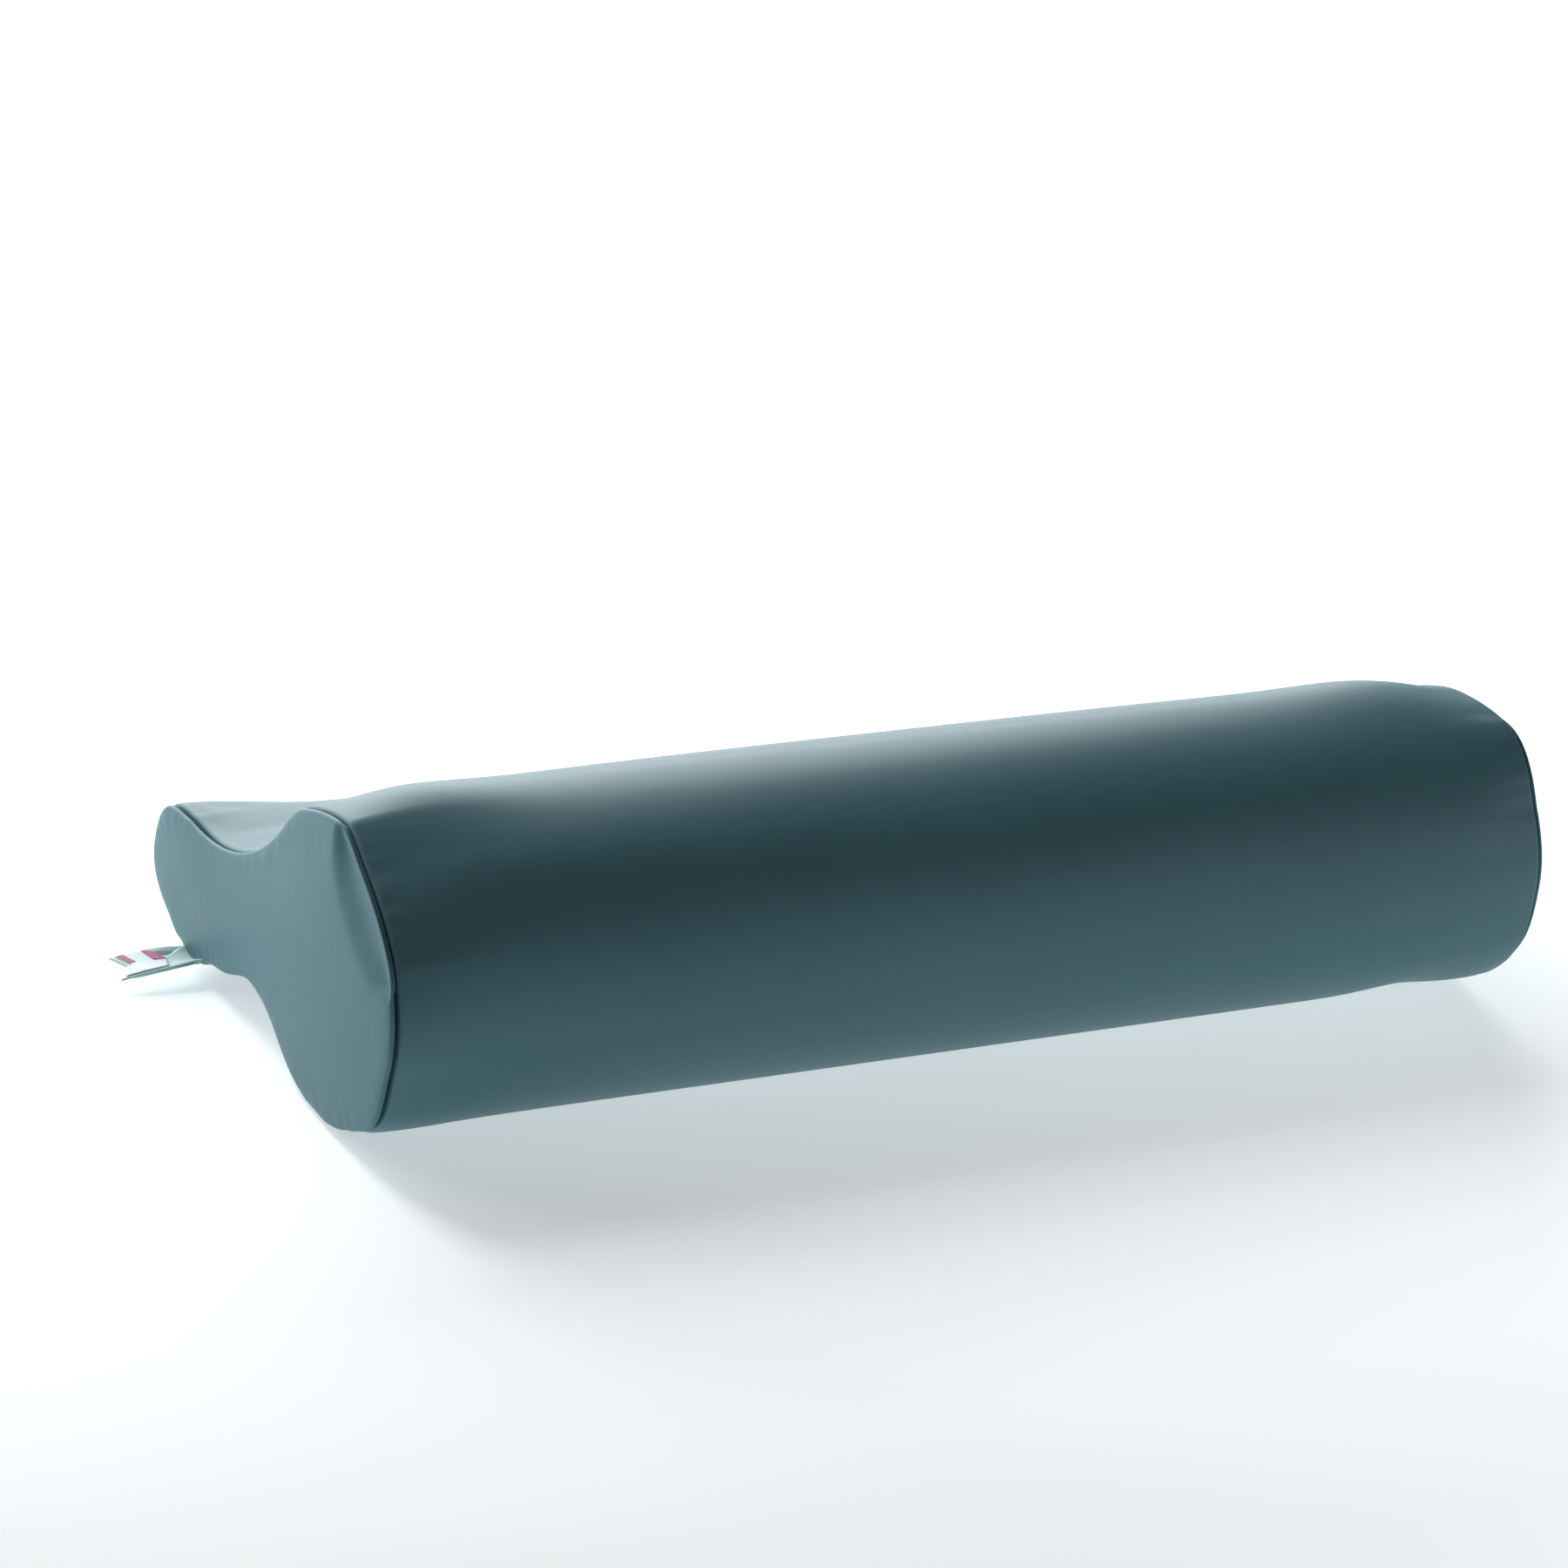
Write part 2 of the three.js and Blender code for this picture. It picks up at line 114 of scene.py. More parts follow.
def filletCentre(big, small, fillet, side):
    a, b = big + fillet, small + fillet
    reach = (a * a - b * b + pillow["rollSpacing"] ** 2) / (2 * pillow["rollSpacing"])
    return bigCentre + along * reach + across * side * math.sqrt(a * a - reach * reach)


def onCircle(centre, radius, angles):
    return np.stack([centre[0] + radius * np.cos(angles), centre[1] + radius * np.sin(angles)], 1)


def arc(centre, radius, start, end, count):
    return onCircle(centre, radius, np.linspace(start, end, count, endpoint=False))


# How many points each stretch of the section has. They follow one another counterclockwise seen from +X.
# The hollow under the waist has its points where the zip's slot and stitches need them.
zipOffsets = [0, 0.5, 1.2, 2.6, 5, 5.4, 6.1, 7.1, 8, 8.9, 10, 12, 14.5, 17.5]
zipOffsets = np.array([-t for t in reversed(zipOffsets[1:])] + zipOffsets) * mm
stretches = {
    "bigFront": 10, "underBig": 16, "zip": len(zipOffsets), "underSmall": 14, "smallFront": 8,
    "smallRest": 6, "smallBack": 62, "top": 44, "bigBack": 112, "bigRest": 8,
}
pointCount = sum(stretches.values())
firstZipColumn = stretches["bigFront"] + stretches["underBig"]


def underArcs(centre, radius):
    middle = math.atan2(across[1], across[0])
    angles = middle - zipOffsets / pillow["underHollow"]
    step = 3 * mm / pillow["underHollow"]
    return (
        arc(centre, radius, angleTo(centre, bigCentre), angles[0], stretches["underBig"]),
        onCircle(centre, radius, angles),
        arc(centre, radius, angles[-1] - step, angleTo(centre, smallCentre), stretches["underSmall"]),
    )


def section(drop=0.0, inset=0.0):
    big = pillow["bigRadius"] - drop
    small = pillow["smallRadius"] - drop * 0.46
    top = filletCentre(big, small, pillow["topHollow"], 1)
    under = filletCentre(big, small, pillow["underHollow"], -1)
    down = -math.pi / 2
    bigRest = math.asin(pillow["bigRest"] / 2 / pillow["bigRadius"])
    smallRest = math.asin(pillow["smallRest"] / 2 / pillow["smallRadius"])
    n = stretches
    topRadius = pillow["topHollow"] + inset
    pieces = [
        arc(bigCentre, big - inset, down + bigRest, angleTo(bigCentre, under), n["bigFront"]),
        *underArcs(under, pillow["underHollow"] + inset),
        arc(smallCentre, small - inset, angleTo(smallCentre, under), down - smallRest, n["smallFront"]),
        None,
        arc(smallCentre, small - inset, down + smallRest, angleTo(smallCentre, top), n["smallBack"]),
        arc(top, topRadius, angleTo(top, smallCentre), angleTo(top, bigCentre), n["top"]),
        arc(bigCentre, big - inset, angleTo(bigCentre, top), 2 * math.pi + down - bigRest, n["bigBack"]),
        None,
    ]
    for i, centre, radius, rest, count in (
        (5, smallCentre, small - inset, smallRest, n["smallRest"]),
        (9, bigCentre, big - inset, bigRest, n["bigRest"]),
    ):
        a = centre + radius * np.array([-math.sin(rest), -math.cos(rest)])
        b = centre + radius * np.array([math.sin(rest), -math.cos(rest)])
        share = np.arange(count)[:, None] / count
        pieces[i] = a + (b - a) * share
    return np.concatenate(pieces)


def ring(x, drop=0.0, inset=0.0):
    yz = section(drop, inset)
    return np.column_stack([np.full(len(yz), x), yz])


def meshFrom(name, points, faces):
    mesh = bpy.data.meshes.new(name)
    mesh.from_pydata([tuple(p) for p in points], [], faces)
    mesh.update()
    mesh.shade_smooth()
    thing = bpy.data.objects.new(name, mesh)
    scene.collection.objects.link(thing)
    return thing


# Quads between neighbouring rows of points. Rows are closed where isRing says so.
def gridFaces(rowCount, columnCount, isRing=True, skip=None, first=0):
    faces = []
    for i in range(rowCount - 1):
        for j in range(columnCount if isRing else columnCount - 1):
            if skip is not None and skip(i, j):
                continue
            k = (j + 1) % columnCount
            a, b = first + i * columnCount, first + (i + 1) * columnCount
            faces.append((a + j, a + k, b + k, b + j))
    return faces


# The first and last row are closed with one face each.
def capEnds(faces, rowCount, columnCount):
    faces.append(tuple(range(columnCount - 1, -1, -1)))
    faces.append(tuple((rowCount - 1) * columnCount + j for j in range(columnCount)))


def setAll(thing, settings):
    for name, value in settings.items():
        setattr(thing, name, value)


def addModifier(thing, kind, **settings):
    modifier = thing.modifiers.new(kind.lower(), kind)
    setAll(modifier, settings)
    return modifier


def bake(thing):
    depsgraph = bpy.context.evaluated_depsgraph_get()
    mesh = bpy.data.meshes.new_from_object(thing.evaluated_get(depsgraph))
    thing.modifiers.clear()
    thing.data = mesh
    return thing


def coordinates(mesh):
    flat = np.zeros(len(mesh.vertices) * 3, np.float32)
    mesh.vertices.foreach_get("co", flat)
    return flat.reshape(-1, 3).astype(float)


# ---- how the cover puffs over its foam ----
puff = {
    "voxel": 6 * mm,
    "frames": 20,
    "shrink": 1.2 * mm,  # the blank starts smaller by this much, because it swells
    "wrapCap": 2.6 * mm,
    "endCap": 7 * mm,
    "blankDome": 3.5 * mm,
    "rimDrop": 2.6 * mm,
    "taper": 50 * mm,
    "pinned": 5 * mm,
    "neighbours": 10,  # points of the blank that one point of the cover follows
}
clothSettings = {
    "quality": 5, "mass": 0.4, "tension_stiffness": 18, "compression_stiffness": 18, "shear_stiffness": 8,
    "bending_stiffness": 1.5, "use_pressure": True, "uniform_pressure_force": 4.0,
}


def taperDrop(x, drop=puff["rimDrop"], length=puff["taper"]):
    past = max(0.0, 1 - (seamX - abs(x)) / length)
    return drop * (1 - math.sqrt(max(0.0, 1 - past * past)))


# A closed, slightly smaller pillow for the simulation. Its ends are domed.
def makeBlank():
    stations = [-320, -317, -308, -295] + list(range(-280, 281, 14)) + [295, 308, 317, 320]
    rows = [ring(x * mm, taperDrop(x * mm), puff["shrink"]) for x in stations]
    domeInsets = (4, 9, 16, 24)
    for side in (-1, 1):
        for inset in domeInsets:
            rise = puff["blankDome"] * math.sqrt(1 - (1 - inset / domeInsets[-1]) ** 2)
            row = ring(side * (seamX + rise), puff["rimDrop"], inset * mm)
            rows.insert(0 if side < 0 else len(rows), row)
    faces = gridFaces(len(rows), pointCount)
    capEnds(faces, len(rows), pointCount)
    return meshFrom("blank", np.concatenate(rows), faces)


def simulatePuff():
    blank = makeBlank()
    addModifier(blank, "REMESH", mode="VOXEL", voxel_size=puff["voxel"])
    bake(blank)
    rest = coordinates(blank.data)
    fromSeam = np.abs(np.abs(rest[:, 0]) - seamX)
    pins = blank.vertex_groups.new(name="pins")
    nearSeam = (fromSeam < puff["pinned"]) & (np.abs(rest[:, 0]) < seamX + 2.2 * mm)
    resting = rest[:, 2] < puff["shrink"] + 1.5 * mm
    pins.add(np.nonzero(nearSeam | resting)[0].tolist(), 1.0, "REPLACE")
    cloth = addModifier(blank, "CLOTH")
    setAll(cloth.settings, clothSettings)
    cloth.settings.vertex_group_mass = "pins"
    cloth.settings.effector_weights.gravity = 0
    cloth.point_cache.frame_start, cloth.point_cache.frame_end = 1, puff["frames"]
    for frameNumber in range(1, puff["frames"] + 1):
        scene.frame_set(frameNumber)
    swollen = blank.evaluated_get(bpy.context.evaluated_depsgraph_get()).to_mesh()
    move = coordinates(swollen) - rest
    blank.modifiers.clear()
    scene.frame_set(1)
    onEnd = smooth(np.abs(rest[:, 0]), seamX - 6 * mm, seamX + 2 * mm)
    cap = puff["wrapCap"] + (puff["endCap"] - puff["wrapCap"]) * onEnd
    length = np.linalg.norm(move, axis=1)
    print("swelling before the cap, in mm:", np.round(np.percentile(length, [50, 90, 99, 100]) / mm, 1))
    move *= (cap * np.tanh(length / cap) / np.maximum(length, 1e-9))[:, None]
    mesh = blank.data
    bpy.data.objects.remove(blank)
    bpy.data.meshes.remove(mesh)
    return rest, move


# Passes the blank's swelling on to any point near it.
class Swelling:
    def __init__(self):
        self.rest, self.move = simulatePuff()
        self.tree = kdtree.KDTree(max(1, len(self.rest)))
        for i, p in enumerate(self.rest):
            self.tree.insert(Vector(p), i)
        self.tree.balance()

    def at(self, points):
        if not len(self.rest):
            return np.zeros_like(points)
        found = np.zeros_like(points)
        for i, p in enumerate(points):
            near = self.tree.find_n(Vector(p), puff["neighbours"])
            indices = [n[1] for n in near]
            reach = near[-1][2] + 1 * mm
            weights = np.array([(1 - n[2] / reach) ** 2 for n in near])
            found[i] = weights @ self.move[indices] / weights.sum()
        return found


swelling = Swelling()
print("cover puffed")

# ---- how the ends are pulled out of true ----
# Each entry bends the rim of a roll in or out: the place round the roll's centre (degrees from +Y towards
# +Z), how far it spreads each way, by how much, how far from the seam it lies ("from") and how far along
# the roll it is felt from there.
leftBig = [
    {"at": 121, "spread": (26, 34), "amount": -6.0, "reach": 42, "sharp": True},
    {"at": 76, "spread": (20, 19), "amount": -2.6, "reach": 26, "sharp": True},
    {"at": 84, "spread": (34, 32), "amount": 4.4, "reach": 44, "from": 46},
    {"at": 188, "spread": (34, 22), "amount": 2.6, "reach": 40},
    {"at": 216, "spread": (24, 26), "amount": 6.0, "reach": 60},
    {"at": -52, "spread": (34, 20), "amount": 2.6, "reach": 60},
]
leftSmall = [
    {"at": 38, "spread": (60, 45), "amount": 7.0, "reach": 44},
    {"at": 66, "spread": (50, 46), "amount": -3.5, "reach": 40, "from": 84},
    {"at": -2, "spread": (36, 30), "amount": 3.0, "reach": 40},
    {"at": -80, "spread": (42, 50), "amount": -8.5, "reach": 34},
    {"at": -44, "spread": (34, 38), "amount": -6.0, "reach": 34},
    {"at": 78, "spread": (66, 60), "amount": -4.4, "reach": 250, "from": 330},
]
rightBig = [
    {"at": 74, "spread": (44, 44), "amount": 2.6, "reach": 42, "from": 62},
    {"at": 84, "spread": (60, 34), "amount": -4.5, "reach": 42},
    {"at": 122, "spread": (16, 26), "amount": 2.5, "reach": 24, "sharp": True},
    {"at": 146, "spread": (26, 30), "amount": -2.0, "reach": 26},
    {"at": 206, "spread": (24, 40), "amount": 2.0, "reach": 24},
    {"at": 243, "spread": (34, 30), "amount": -3.0, "reach": 26, "from": 52},
]


# Under the waist the left end's rim hangs lower than the rest of the hollow.
waistSag = {
    "middle": 122 * mm, "half": 36 * mm, "amount": 7.0 * mm, "reach": 20 * mm,
    "below": (-66 * mm, -26 * mm),  # heights, negated, between which it sets in
}


# Each point's offset from a roll's centre, and its place round it in degrees.
def roundRoll(points, centre):
    offset = points[:, 1:] - centre
    return offset, np.degrees(np.arctan2(offset[:, 1], offset[:, 0]))


def bumps(angle, table, fromSeam):
    total = np.zeros_like(angle)
    for bump in table:
        away = (angle - bump["at"] + 180) % 360 - 180
        before, after = bump["spread"]
        share = np.where(away < 0, -away / before, away / after)
        shape = np.clip(1 - share, 0, 1)
        shape = np.sin(shape * math.pi / 2) if bump.get("sharp") else shape * shape * (3 - 2 * shape)
        off = np.maximum(fromSeam, 0) - bump.get("from", 0) * mm
        fade = np.exp(-((off / (bump["reach"] * mm)) ** 2))
        total += bump["amount"] * mm * shape * fade
    return total


softFloor = 3 * mm  # what is pushed below the floor flattens within this height
rollSplit = (86 * mm, 122 * mm)  # along Y, where the big roll's bumps give way to the small one's


def warp(points):
    p = np.array(points, float)
    for side, bigTable, smallTable in ((-1, leftBig, leftSmall), (1, rightBig, [])):
        fromSeam = seamX - side * p[:, 0]
        isSmall = smooth(p[:, 1], *rollSplit)
        for centre, table, radius, share in (
            (bigCentre, bigTable, pillow["bigRadius"], 1 - isSmall),
            (smallCentre, smallTable, pillow["smallRadius"], isSmall),
        ):
            offset, angle = roundRoll(p, centre)
            distance = np.maximum(np.linalg.norm(offset, axis=1), 1e-6)
            grow = smooth(distance, radius * 0.35, radius * 0.97) * share
            p[:, 1:] += offset / distance[:, None] * (bumps(angle, table, fromSeam) * grow)[:, None]
    acrossWaist = np.clip(1 - np.abs(p[:, 1] - waistSag["middle"]) / waistSag["half"], 0, 1)
    underside = smooth(-p[:, 2], *waistSag["below"])
    fromLeft = np.maximum(p[:, 0] + seamX, 0)
    sag = smooth(acrossWaist, 0, 1) * underside * np.exp(-((fromLeft / waistSag["reach"]) ** 2))
    p[:, 2] -= waistSag["amount"] * sag
    low = p[:, 2]
    pressed = softFloor * np.exp(np.minimum(0, (low - softFloor) / softFloor))
    p[:, 2] = np.where(low < softFloor, pressed, low)
    p[:, 2] -= softFloor * math.exp(-1) * smooth(-low, -softFloor, 0)
    return p


# ---- wrap panel ----
seamHalf = 0.15 * mm  # where the two covers are sewn together, from the seam's middle
gather = {"amount": 0.4 * mm, "fade": 7 * mm}  # small puckers that the end seams' stitches pull in


def gathers(count):
    j = np.arange(count)
    wave = np.sin(j * 1.21 + 1.3 * np.sin(j * 0.37)) * (0.55 + 0.45 * np.sin(j * 0.11 + 1.0))
    return gather["amount"] * wave


wrap = {
    "lip": 1.7 * mm,  # radius of the fold that turns in at the seam
    "gap": 0.6 * mm,  # from the seam's middle to the fold
    "groove": 5.5 * mm,
    "crown": 1.0 * mm,  # how far the long top rises between its ends
    "step": 8 * mm,
    "fineZone": 62 * mm,  # from each seam, where the rows are closer
    "foldDrop": 2.6 * mm,
    "slotHalf": 5 * mm,
    "foldDepth": 1.1 * mm,
    "foldWidth": 1.6 * mm,
    "stitchAt": 8 * mm,
    "channel": 0.35 * mm,
    "seamDepth": 1.3 * mm,  # of the closing seam that runs on from the zip to the end seams
}


# Both covers turn in at a seam the same way. Each entry: how far from the seam's middle, and how far in.
def foldRows(shape, rimInset):
    lip, gap = shape["lip"], shape["gap"]
    rows = [(seamHalf, shape["groove"]), (gap - 0.1 * mm, lip + shape["foldDrop"])]
    for degrees in (0, 18, 36, 54, 72, 90):
        a = math.radians(degrees)
        rows.append((gap + lip * (1 - math.cos(a)), rimInset + lip * (1 - math.sin(a))))
    return rows


# Rows of the wrap along X, each with how far it is turned in: the folds at both seams, then finer rows
# near the seams and at the ends of the zip's slot.
def wrapRows():
    fold = foldRows(wrap, 0.0)
    places = [zipHalf + t * mm for t in (-6, -2.5, -1, -0.3, 0, 0.6, 2, 5)]
    distance, step = wrap["gap"] + wrap["lip"] + 0.5 * mm, 0.7 * mm
    while distance < wrap["fineZone"]:
        places.append(seamX - distance)
        distance += step
        step = min(step * 1.17, 6 * mm)
    places += list(np.arange(wrap["step"] / 2, seamX - wrap["fineZone"], wrap["step"]))
    places = sorted(places)
    slotPlaces, closestRows = [zipHalf - 0.3 * mm, zipHalf], 0.45 * mm
    kept = [p for i, p in enumerate(places) if p in slotPlaces or all(
        abs(p - q) > closestRows for q in slotPlaces + places[i + 1:i + 2])]
    left = [(-seamX + d, inset) for d, inset in fold]
    right = [(seamX - d, inset) for d, inset in reversed(fold)]
    return left + [(-x, 0.0) for x in reversed(kept)] + [(x, 0.0) for x in kept] + right


# Place across the zip, from its middle line, for every point of some whole rings. Points away from it
# get one metre.
def zipShare(points):
    column = np.tile(np.arange(pointCount), len(points) // pointCount) - firstZipColumn
    inside = (column >= 0) & (column < len(zipOffsets))
    return np.where(inside, zipOffsets[np.clip(column, 0, len(zipOffsets) - 1)], 1.0)


# Where the left seam gapes: the wrap's fold stands off from the panel there.
gapes = [
    {"roll": "small", "at": 78, "half": 62, "amount": 1.1},
    {"roll": "big", "at": 172, "half": 74, "amount": 0.7},
]


def gapeAt(points):
    total = np.zeros(len(points))
    for gape in gapes:
        centre = smallCentre if gape["roll"] == "small" else bigCentre
        offset, angle = roundRoll(points, centre)
        away = np.abs((angle - gape["at"] + 180) % 360 - 180)
        onRoll = points[:, 1] > 95 * mm if gape["roll"] == "small" else points[:, 1] <= 95 * mm
        total += gape["amount"] * mm * smooth(1 - away / gape["half"], 0, 0.6) * onRoll
    fromSeam = points[:, 0] + seamX
    return total * np.exp(-((fromSeam / (9 * mm)) ** 2)) * smooth(fromSeam, 0.2 * mm, 0.5 * mm)


def makeWrap():
    rows = wrapRows()
    points = np.concatenate([ring(x, taperDrop(x), inset) for x, inset in rows])
    ends = np.abs(points[:, 0])
    fromZip = np.abs(zipShare(points))
    fromSeam, clearOfZip = seamX - ends, smooth(fromZip, 14 * mm, 40 * mm)
    points += swelling.at(points) * (smooth(fromSeam, 1 * mm, 14 * mm) * clearOfZip)[:, None]
    outward = (section() - section(0, 1 * mm)) / (1 * mm)
    rowCount = len(rows)
    pucker = np.tile(gathers(pointCount), rowCount) * np.exp(-(fromSeam / gather["fade"]))
    pucker *= smooth(fromSeam, 1 * mm, 4 * mm) * clearOfZip
    points[:, 1:] += np.tile(outward, (rowCount, 1)) * pucker[:, None]
    crown = wrap["crown"] * (1 - (ends / seamX) ** 2)
    points[:, 2] += crown * smooth(points[:, 2], 60 * mm, 140 * mm)
    # the slot's edges are folded in, and the stitches pull a shallow channel beside them
    beside = smooth(zipHalf + 4 * mm - ends, 0, 5 * mm)
    fold = wrap["foldDepth"] * np.clip(1 - (fromZip - wrap["slotHalf"]) / wrap["foldWidth"], 0, 1) ** 2
    channel = wrap["channel"] * np.exp(-(((fromZip - wrap["stitchAt"]) / (0.9 * mm)) ** 2))
    seam = wrap["seamDepth"] * np.exp(-((fromZip / (0.7 * mm)) ** 2))
    sunken = (fold + channel) * beside + seam * smooth(ends, zipHalf, zipHalf + 3 * mm)
    points[:, 1:] += across * sunken[:, None]
    points[:, 0] += gapeAt(points)
    xs = [x for x, inset in rows]
    slot = wrap["slotHalf"]
    slotStarts = (zipOffsets > -slot - samePlace) & (zipOffsets < slot - samePlace)
    slotColumns = firstZipColumn + np.nonzero(slotStarts)[0]

    def inSlot(i, j):
        return j in slotColumns and max(abs(xs[i]), abs(xs[i + 1])) <= zipHalf + samePlace

    faces = gridFaces(rowCount, pointCount, skip=inSlot)
    thing = meshFrom("wrap_cover", warp(points), faces)
    dropLoose(thing)
    return thicken(thing, pillow["fabric"])


def dropLoose(thing):
    shape = bmesh.new()
    shape.from_mesh(thing.data)
    bmesh.ops.delete(shape, geom=[v for v in shape.verts if not v.link_faces], context="VERTS")
    shape.to_mesh(thing.data)
    shape.free()


def thicken(thing, thickness, offset=-1):
    addModifier(thing, "SOLIDIFY", thickness=thickness, offset=offset, use_even_offset=False)
    bake(thing)
    thing.data.shade_smooth()
    return thing


# ---- end panels ----
panel = {
    "height": 5 * mm,  # of the dome before it puffs
    "gridStep": 4.5 * mm,
    "reach": 24 * mm,
    "lip": 1.5 * mm,
    "gap": 0.5 * mm,
    "groove": 5.5 * mm,
    "foldDrop": 2.8 * mm,
    "rimInset": 0.25 * mm,
    "rightTuck": 1.6 * mm,  # the right panel's rim sits this much lower than the wrap's
    "rings": [1.0, 1.8, 2.8, 4.0, 5.4, 7.0, 8.8, 10.8, 13.0],  # mm in from the rim, outside the grid
    "pucker": 0.5,  # share of the wrap's
}
# The tab's stitches hold the left panel flatter above its root.
tabHold = {"y": 174 * mm, "width": 26 * mm, "below": (-56 * mm, -16 * mm), "share": 0.6}


# How far each place on the panel is from the nearest point of the rim.
def rimDistance(yz, rim):
    found = np.full(len(yz), 1.0)
    for start in range(0, len(rim), 8):
        d = np.linalg.norm(yz[:, None, :] - rim[None, start:start + 8, :], axis=2).min(axis=1)
        found = np.minimum(found, d)
    return found


def makePanel(name, side):
    drop = puff["rimDrop"] + (panel["rightTuck"] if side > 0 else 0)
    rim = section(drop, 0.0)
    flat, rise, edgeRows = [], [], foldRows(panel, panel["rimInset"])
    for out, inset in edgeRows:
        flat.append(section(drop, inset))
        rise.append(np.full(pointCount, out))
    for inset in np.array(panel["rings"]) * mm:
        flat.append(section(drop, inset))
        rise.append(domeRise(np.full(pointCount, inset)))
    ringCount = len(flat)
    faces = gridFaces(ringCount, pointCount)
    border = flat[-1]
    # inside the last ring: points on a triangular grid, joined to the ring
    step = panel["gridStep"]
    low, high = border.min(0), border.max(0)
    grid = []
    rowStep = step * math.sqrt(3) / 2
    for i, z in enumerate(np.arange(low[1], high[1], rowStep)):
        for y in np.arange(low[0] + (i % 2) * step / 2, high[0], step):
            grid.append((y, z))
    grid = np.array(grid)
    grid = grid[(rimDistance(grid, border) > step * 0.6) & insideOf(grid, border)]
    plan = np.concatenate([border, grid])
    borderEdges = [(j, (j + 1) % pointCount) for j in range(pointCount)]
    _, _, triangles, sources, _, _ = delaunay_2d_cdt(
        [Vector(p) for p in plan], borderEdges, [tuple(range(pointCount))], 1, 1e-6,
    )[:6]
    first = (ringCount - 1) * pointCount
    origin = [s[0] if s else None for s in sources]
    for triangle in triangles:
        corner = [origin[v] for v in triangle]
        if None in corner:
            continue
        a, b, c = [plan[v] for v in corner]
        turn = (b[0] - a[0]) * (c[1] - a[1]) - (b[1] - a[1]) * (c[0] - a[0])
        corner = [first + v for v in corner]
        faces.append(tuple(corner) if turn > 0 else tuple(reversed(corner)))
    flat.append(grid)
    rise.append(domeRise(rimDistance(grid, rim)))
    yz = np.concatenate(flat)
    points = np.column_stack([side * (seamX + np.concatenate(rise)), yz])
    depth = rimDistance(yz, rim)
    depth[: len(edgeRows) * pointCount] = 0
    mask = smooth(depth, 0.5 * mm, 10 * mm)
    points += swelling.at(points) * mask[:, None]
    pucker = np.zeros(len(points))
    pucker[: ringCount * pointCount] = np.tile(gathers(pointCount), ringCount)
    pucker *= panel["pucker"] * smooth(depth, 0.5 * mm, 3 * mm) * (1 - smooth(depth, 6 * mm, 12.5 * mm))
    points[:, 0] += side * pucker
    if side < 0:
        held = np.exp(-(((yz[:, 0] - tabHold["y"]) / tabHold["width"]) ** 2))
        held *= smooth(-yz[:, 1], *tabHold["below"])
        proud = np.minimum(points[:, 0] + seamX + panel["gap"] + panel["lip"], 0)
        points[:, 0] -= proud * tabHold["share"] * held
    points = facet(points, side, smooth(depth, 0.2 * mm, 3 * mm))
    points = warp(points)
    if side < 0:
        faces = [tuple(reversed(f)) for f in faces]
    return thicken(meshFrom(name, points, faces), pillow["fabric"])


def domeRise(inset):
    base = panel["gap"] + panel["lip"]
    past = 1 - np.clip((inset + 0.4 * mm) / panel["reach"], 0, 1)
    return base + (panel["height"] - base) * np.sqrt(np.maximum(0, 1 - past * past))


def insideOf(points, outline):
    a, b = outline, np.roll(outline, -1, axis=0)
    inside = np.zeros(len(points), bool)
    for (y0, z0), (y1, z1) in zip(a, b):
        crosses = (z0 > points[:, 1]) != (z1 > points[:, 1])
        if z1 != z0:
            inside ^= crosses & (points[:, 0] < y0 + (points[:, 1] - z0) * (y1 - y0) / (z1 - z0))
    return inside


# The left panel's shoulder is folded down towards the front seam, with a crease where the fold starts.
crease = {"start": 92, "end": 165, "inner": 46 * mm, "depth": 9 * mm, "squareness": 0.28}


def facet(points, side, mask):
    if side > 0:
        return points
    offset, angle = roundRoll(points, bigCentre)
    distance = np.linalg.norm(offset, axis=1)
    middle = (crease["start"] + crease["end"]) / 2
    half = (crease["end"] - crease["start"]) / 2
    bow = np.clip(1 - ((angle % 360 - middle) / half) ** 2, 0, 1) ** crease["squareness"]
    shoulder = pillow["bigRadius"] - crease["inner"]
    past = (distance - (pillow["bigRadius"] - shoulder * bow)) / shoulder
    fall = np.maximum(0, past) * crease["depth"]
    points[:, 0] += fall * mask * smooth(bow, 0, 0.35)
    limit = -(seamX + 0.4 * mm)
    points[:, 0] = np.where(mask > 0.02, np.minimum(points[:, 0], limit), points[:, 0])
    return points


wrapCover = makeWrap()
leftPanel = makePanel("left_end_cover", -1)
rightPanel = makePanel("right_end_cover", 1)
print("cover built")


# ---- foam core, inside the cover ----
foam = {"inset": 3.2 * mm, "endX": 316 * mm, "zipRelief": 5 * mm, "reliefWidth": 18 * mm}


def makeFoam():
    xs = [-foam["endX"], -305 * mm, -288 * mm, -274 * mm]
    xs += [x * mm for x in range(-260, 261, 20)] + [-x for x in reversed(xs)]
    rows = [ring(x, taperDrop(x), foam["inset"]) for x in xs]
    for side in (-1, 1):
        row = ring(side * (foam["endX"] + 1 * mm), puff["rimDrop"], foam["inset"] + 7 * mm)
        rows.insert(0 if side < 0 else len(rows), row)
    points = np.concatenate(rows)
    fromZip = np.abs(zipShare(points))
    relief = foam["zipRelief"] * (1 - smooth(fromZip, foam["reliefWidth"] - 3 * mm, foam["reliefWidth"]))
    points[:, 1:] += across * relief[:, None]
    faces = gridFaces(len(rows), pointCount)
    capEnds(faces, len(rows), pointCount)
    return meshFrom("foam_block", warp(points), faces)


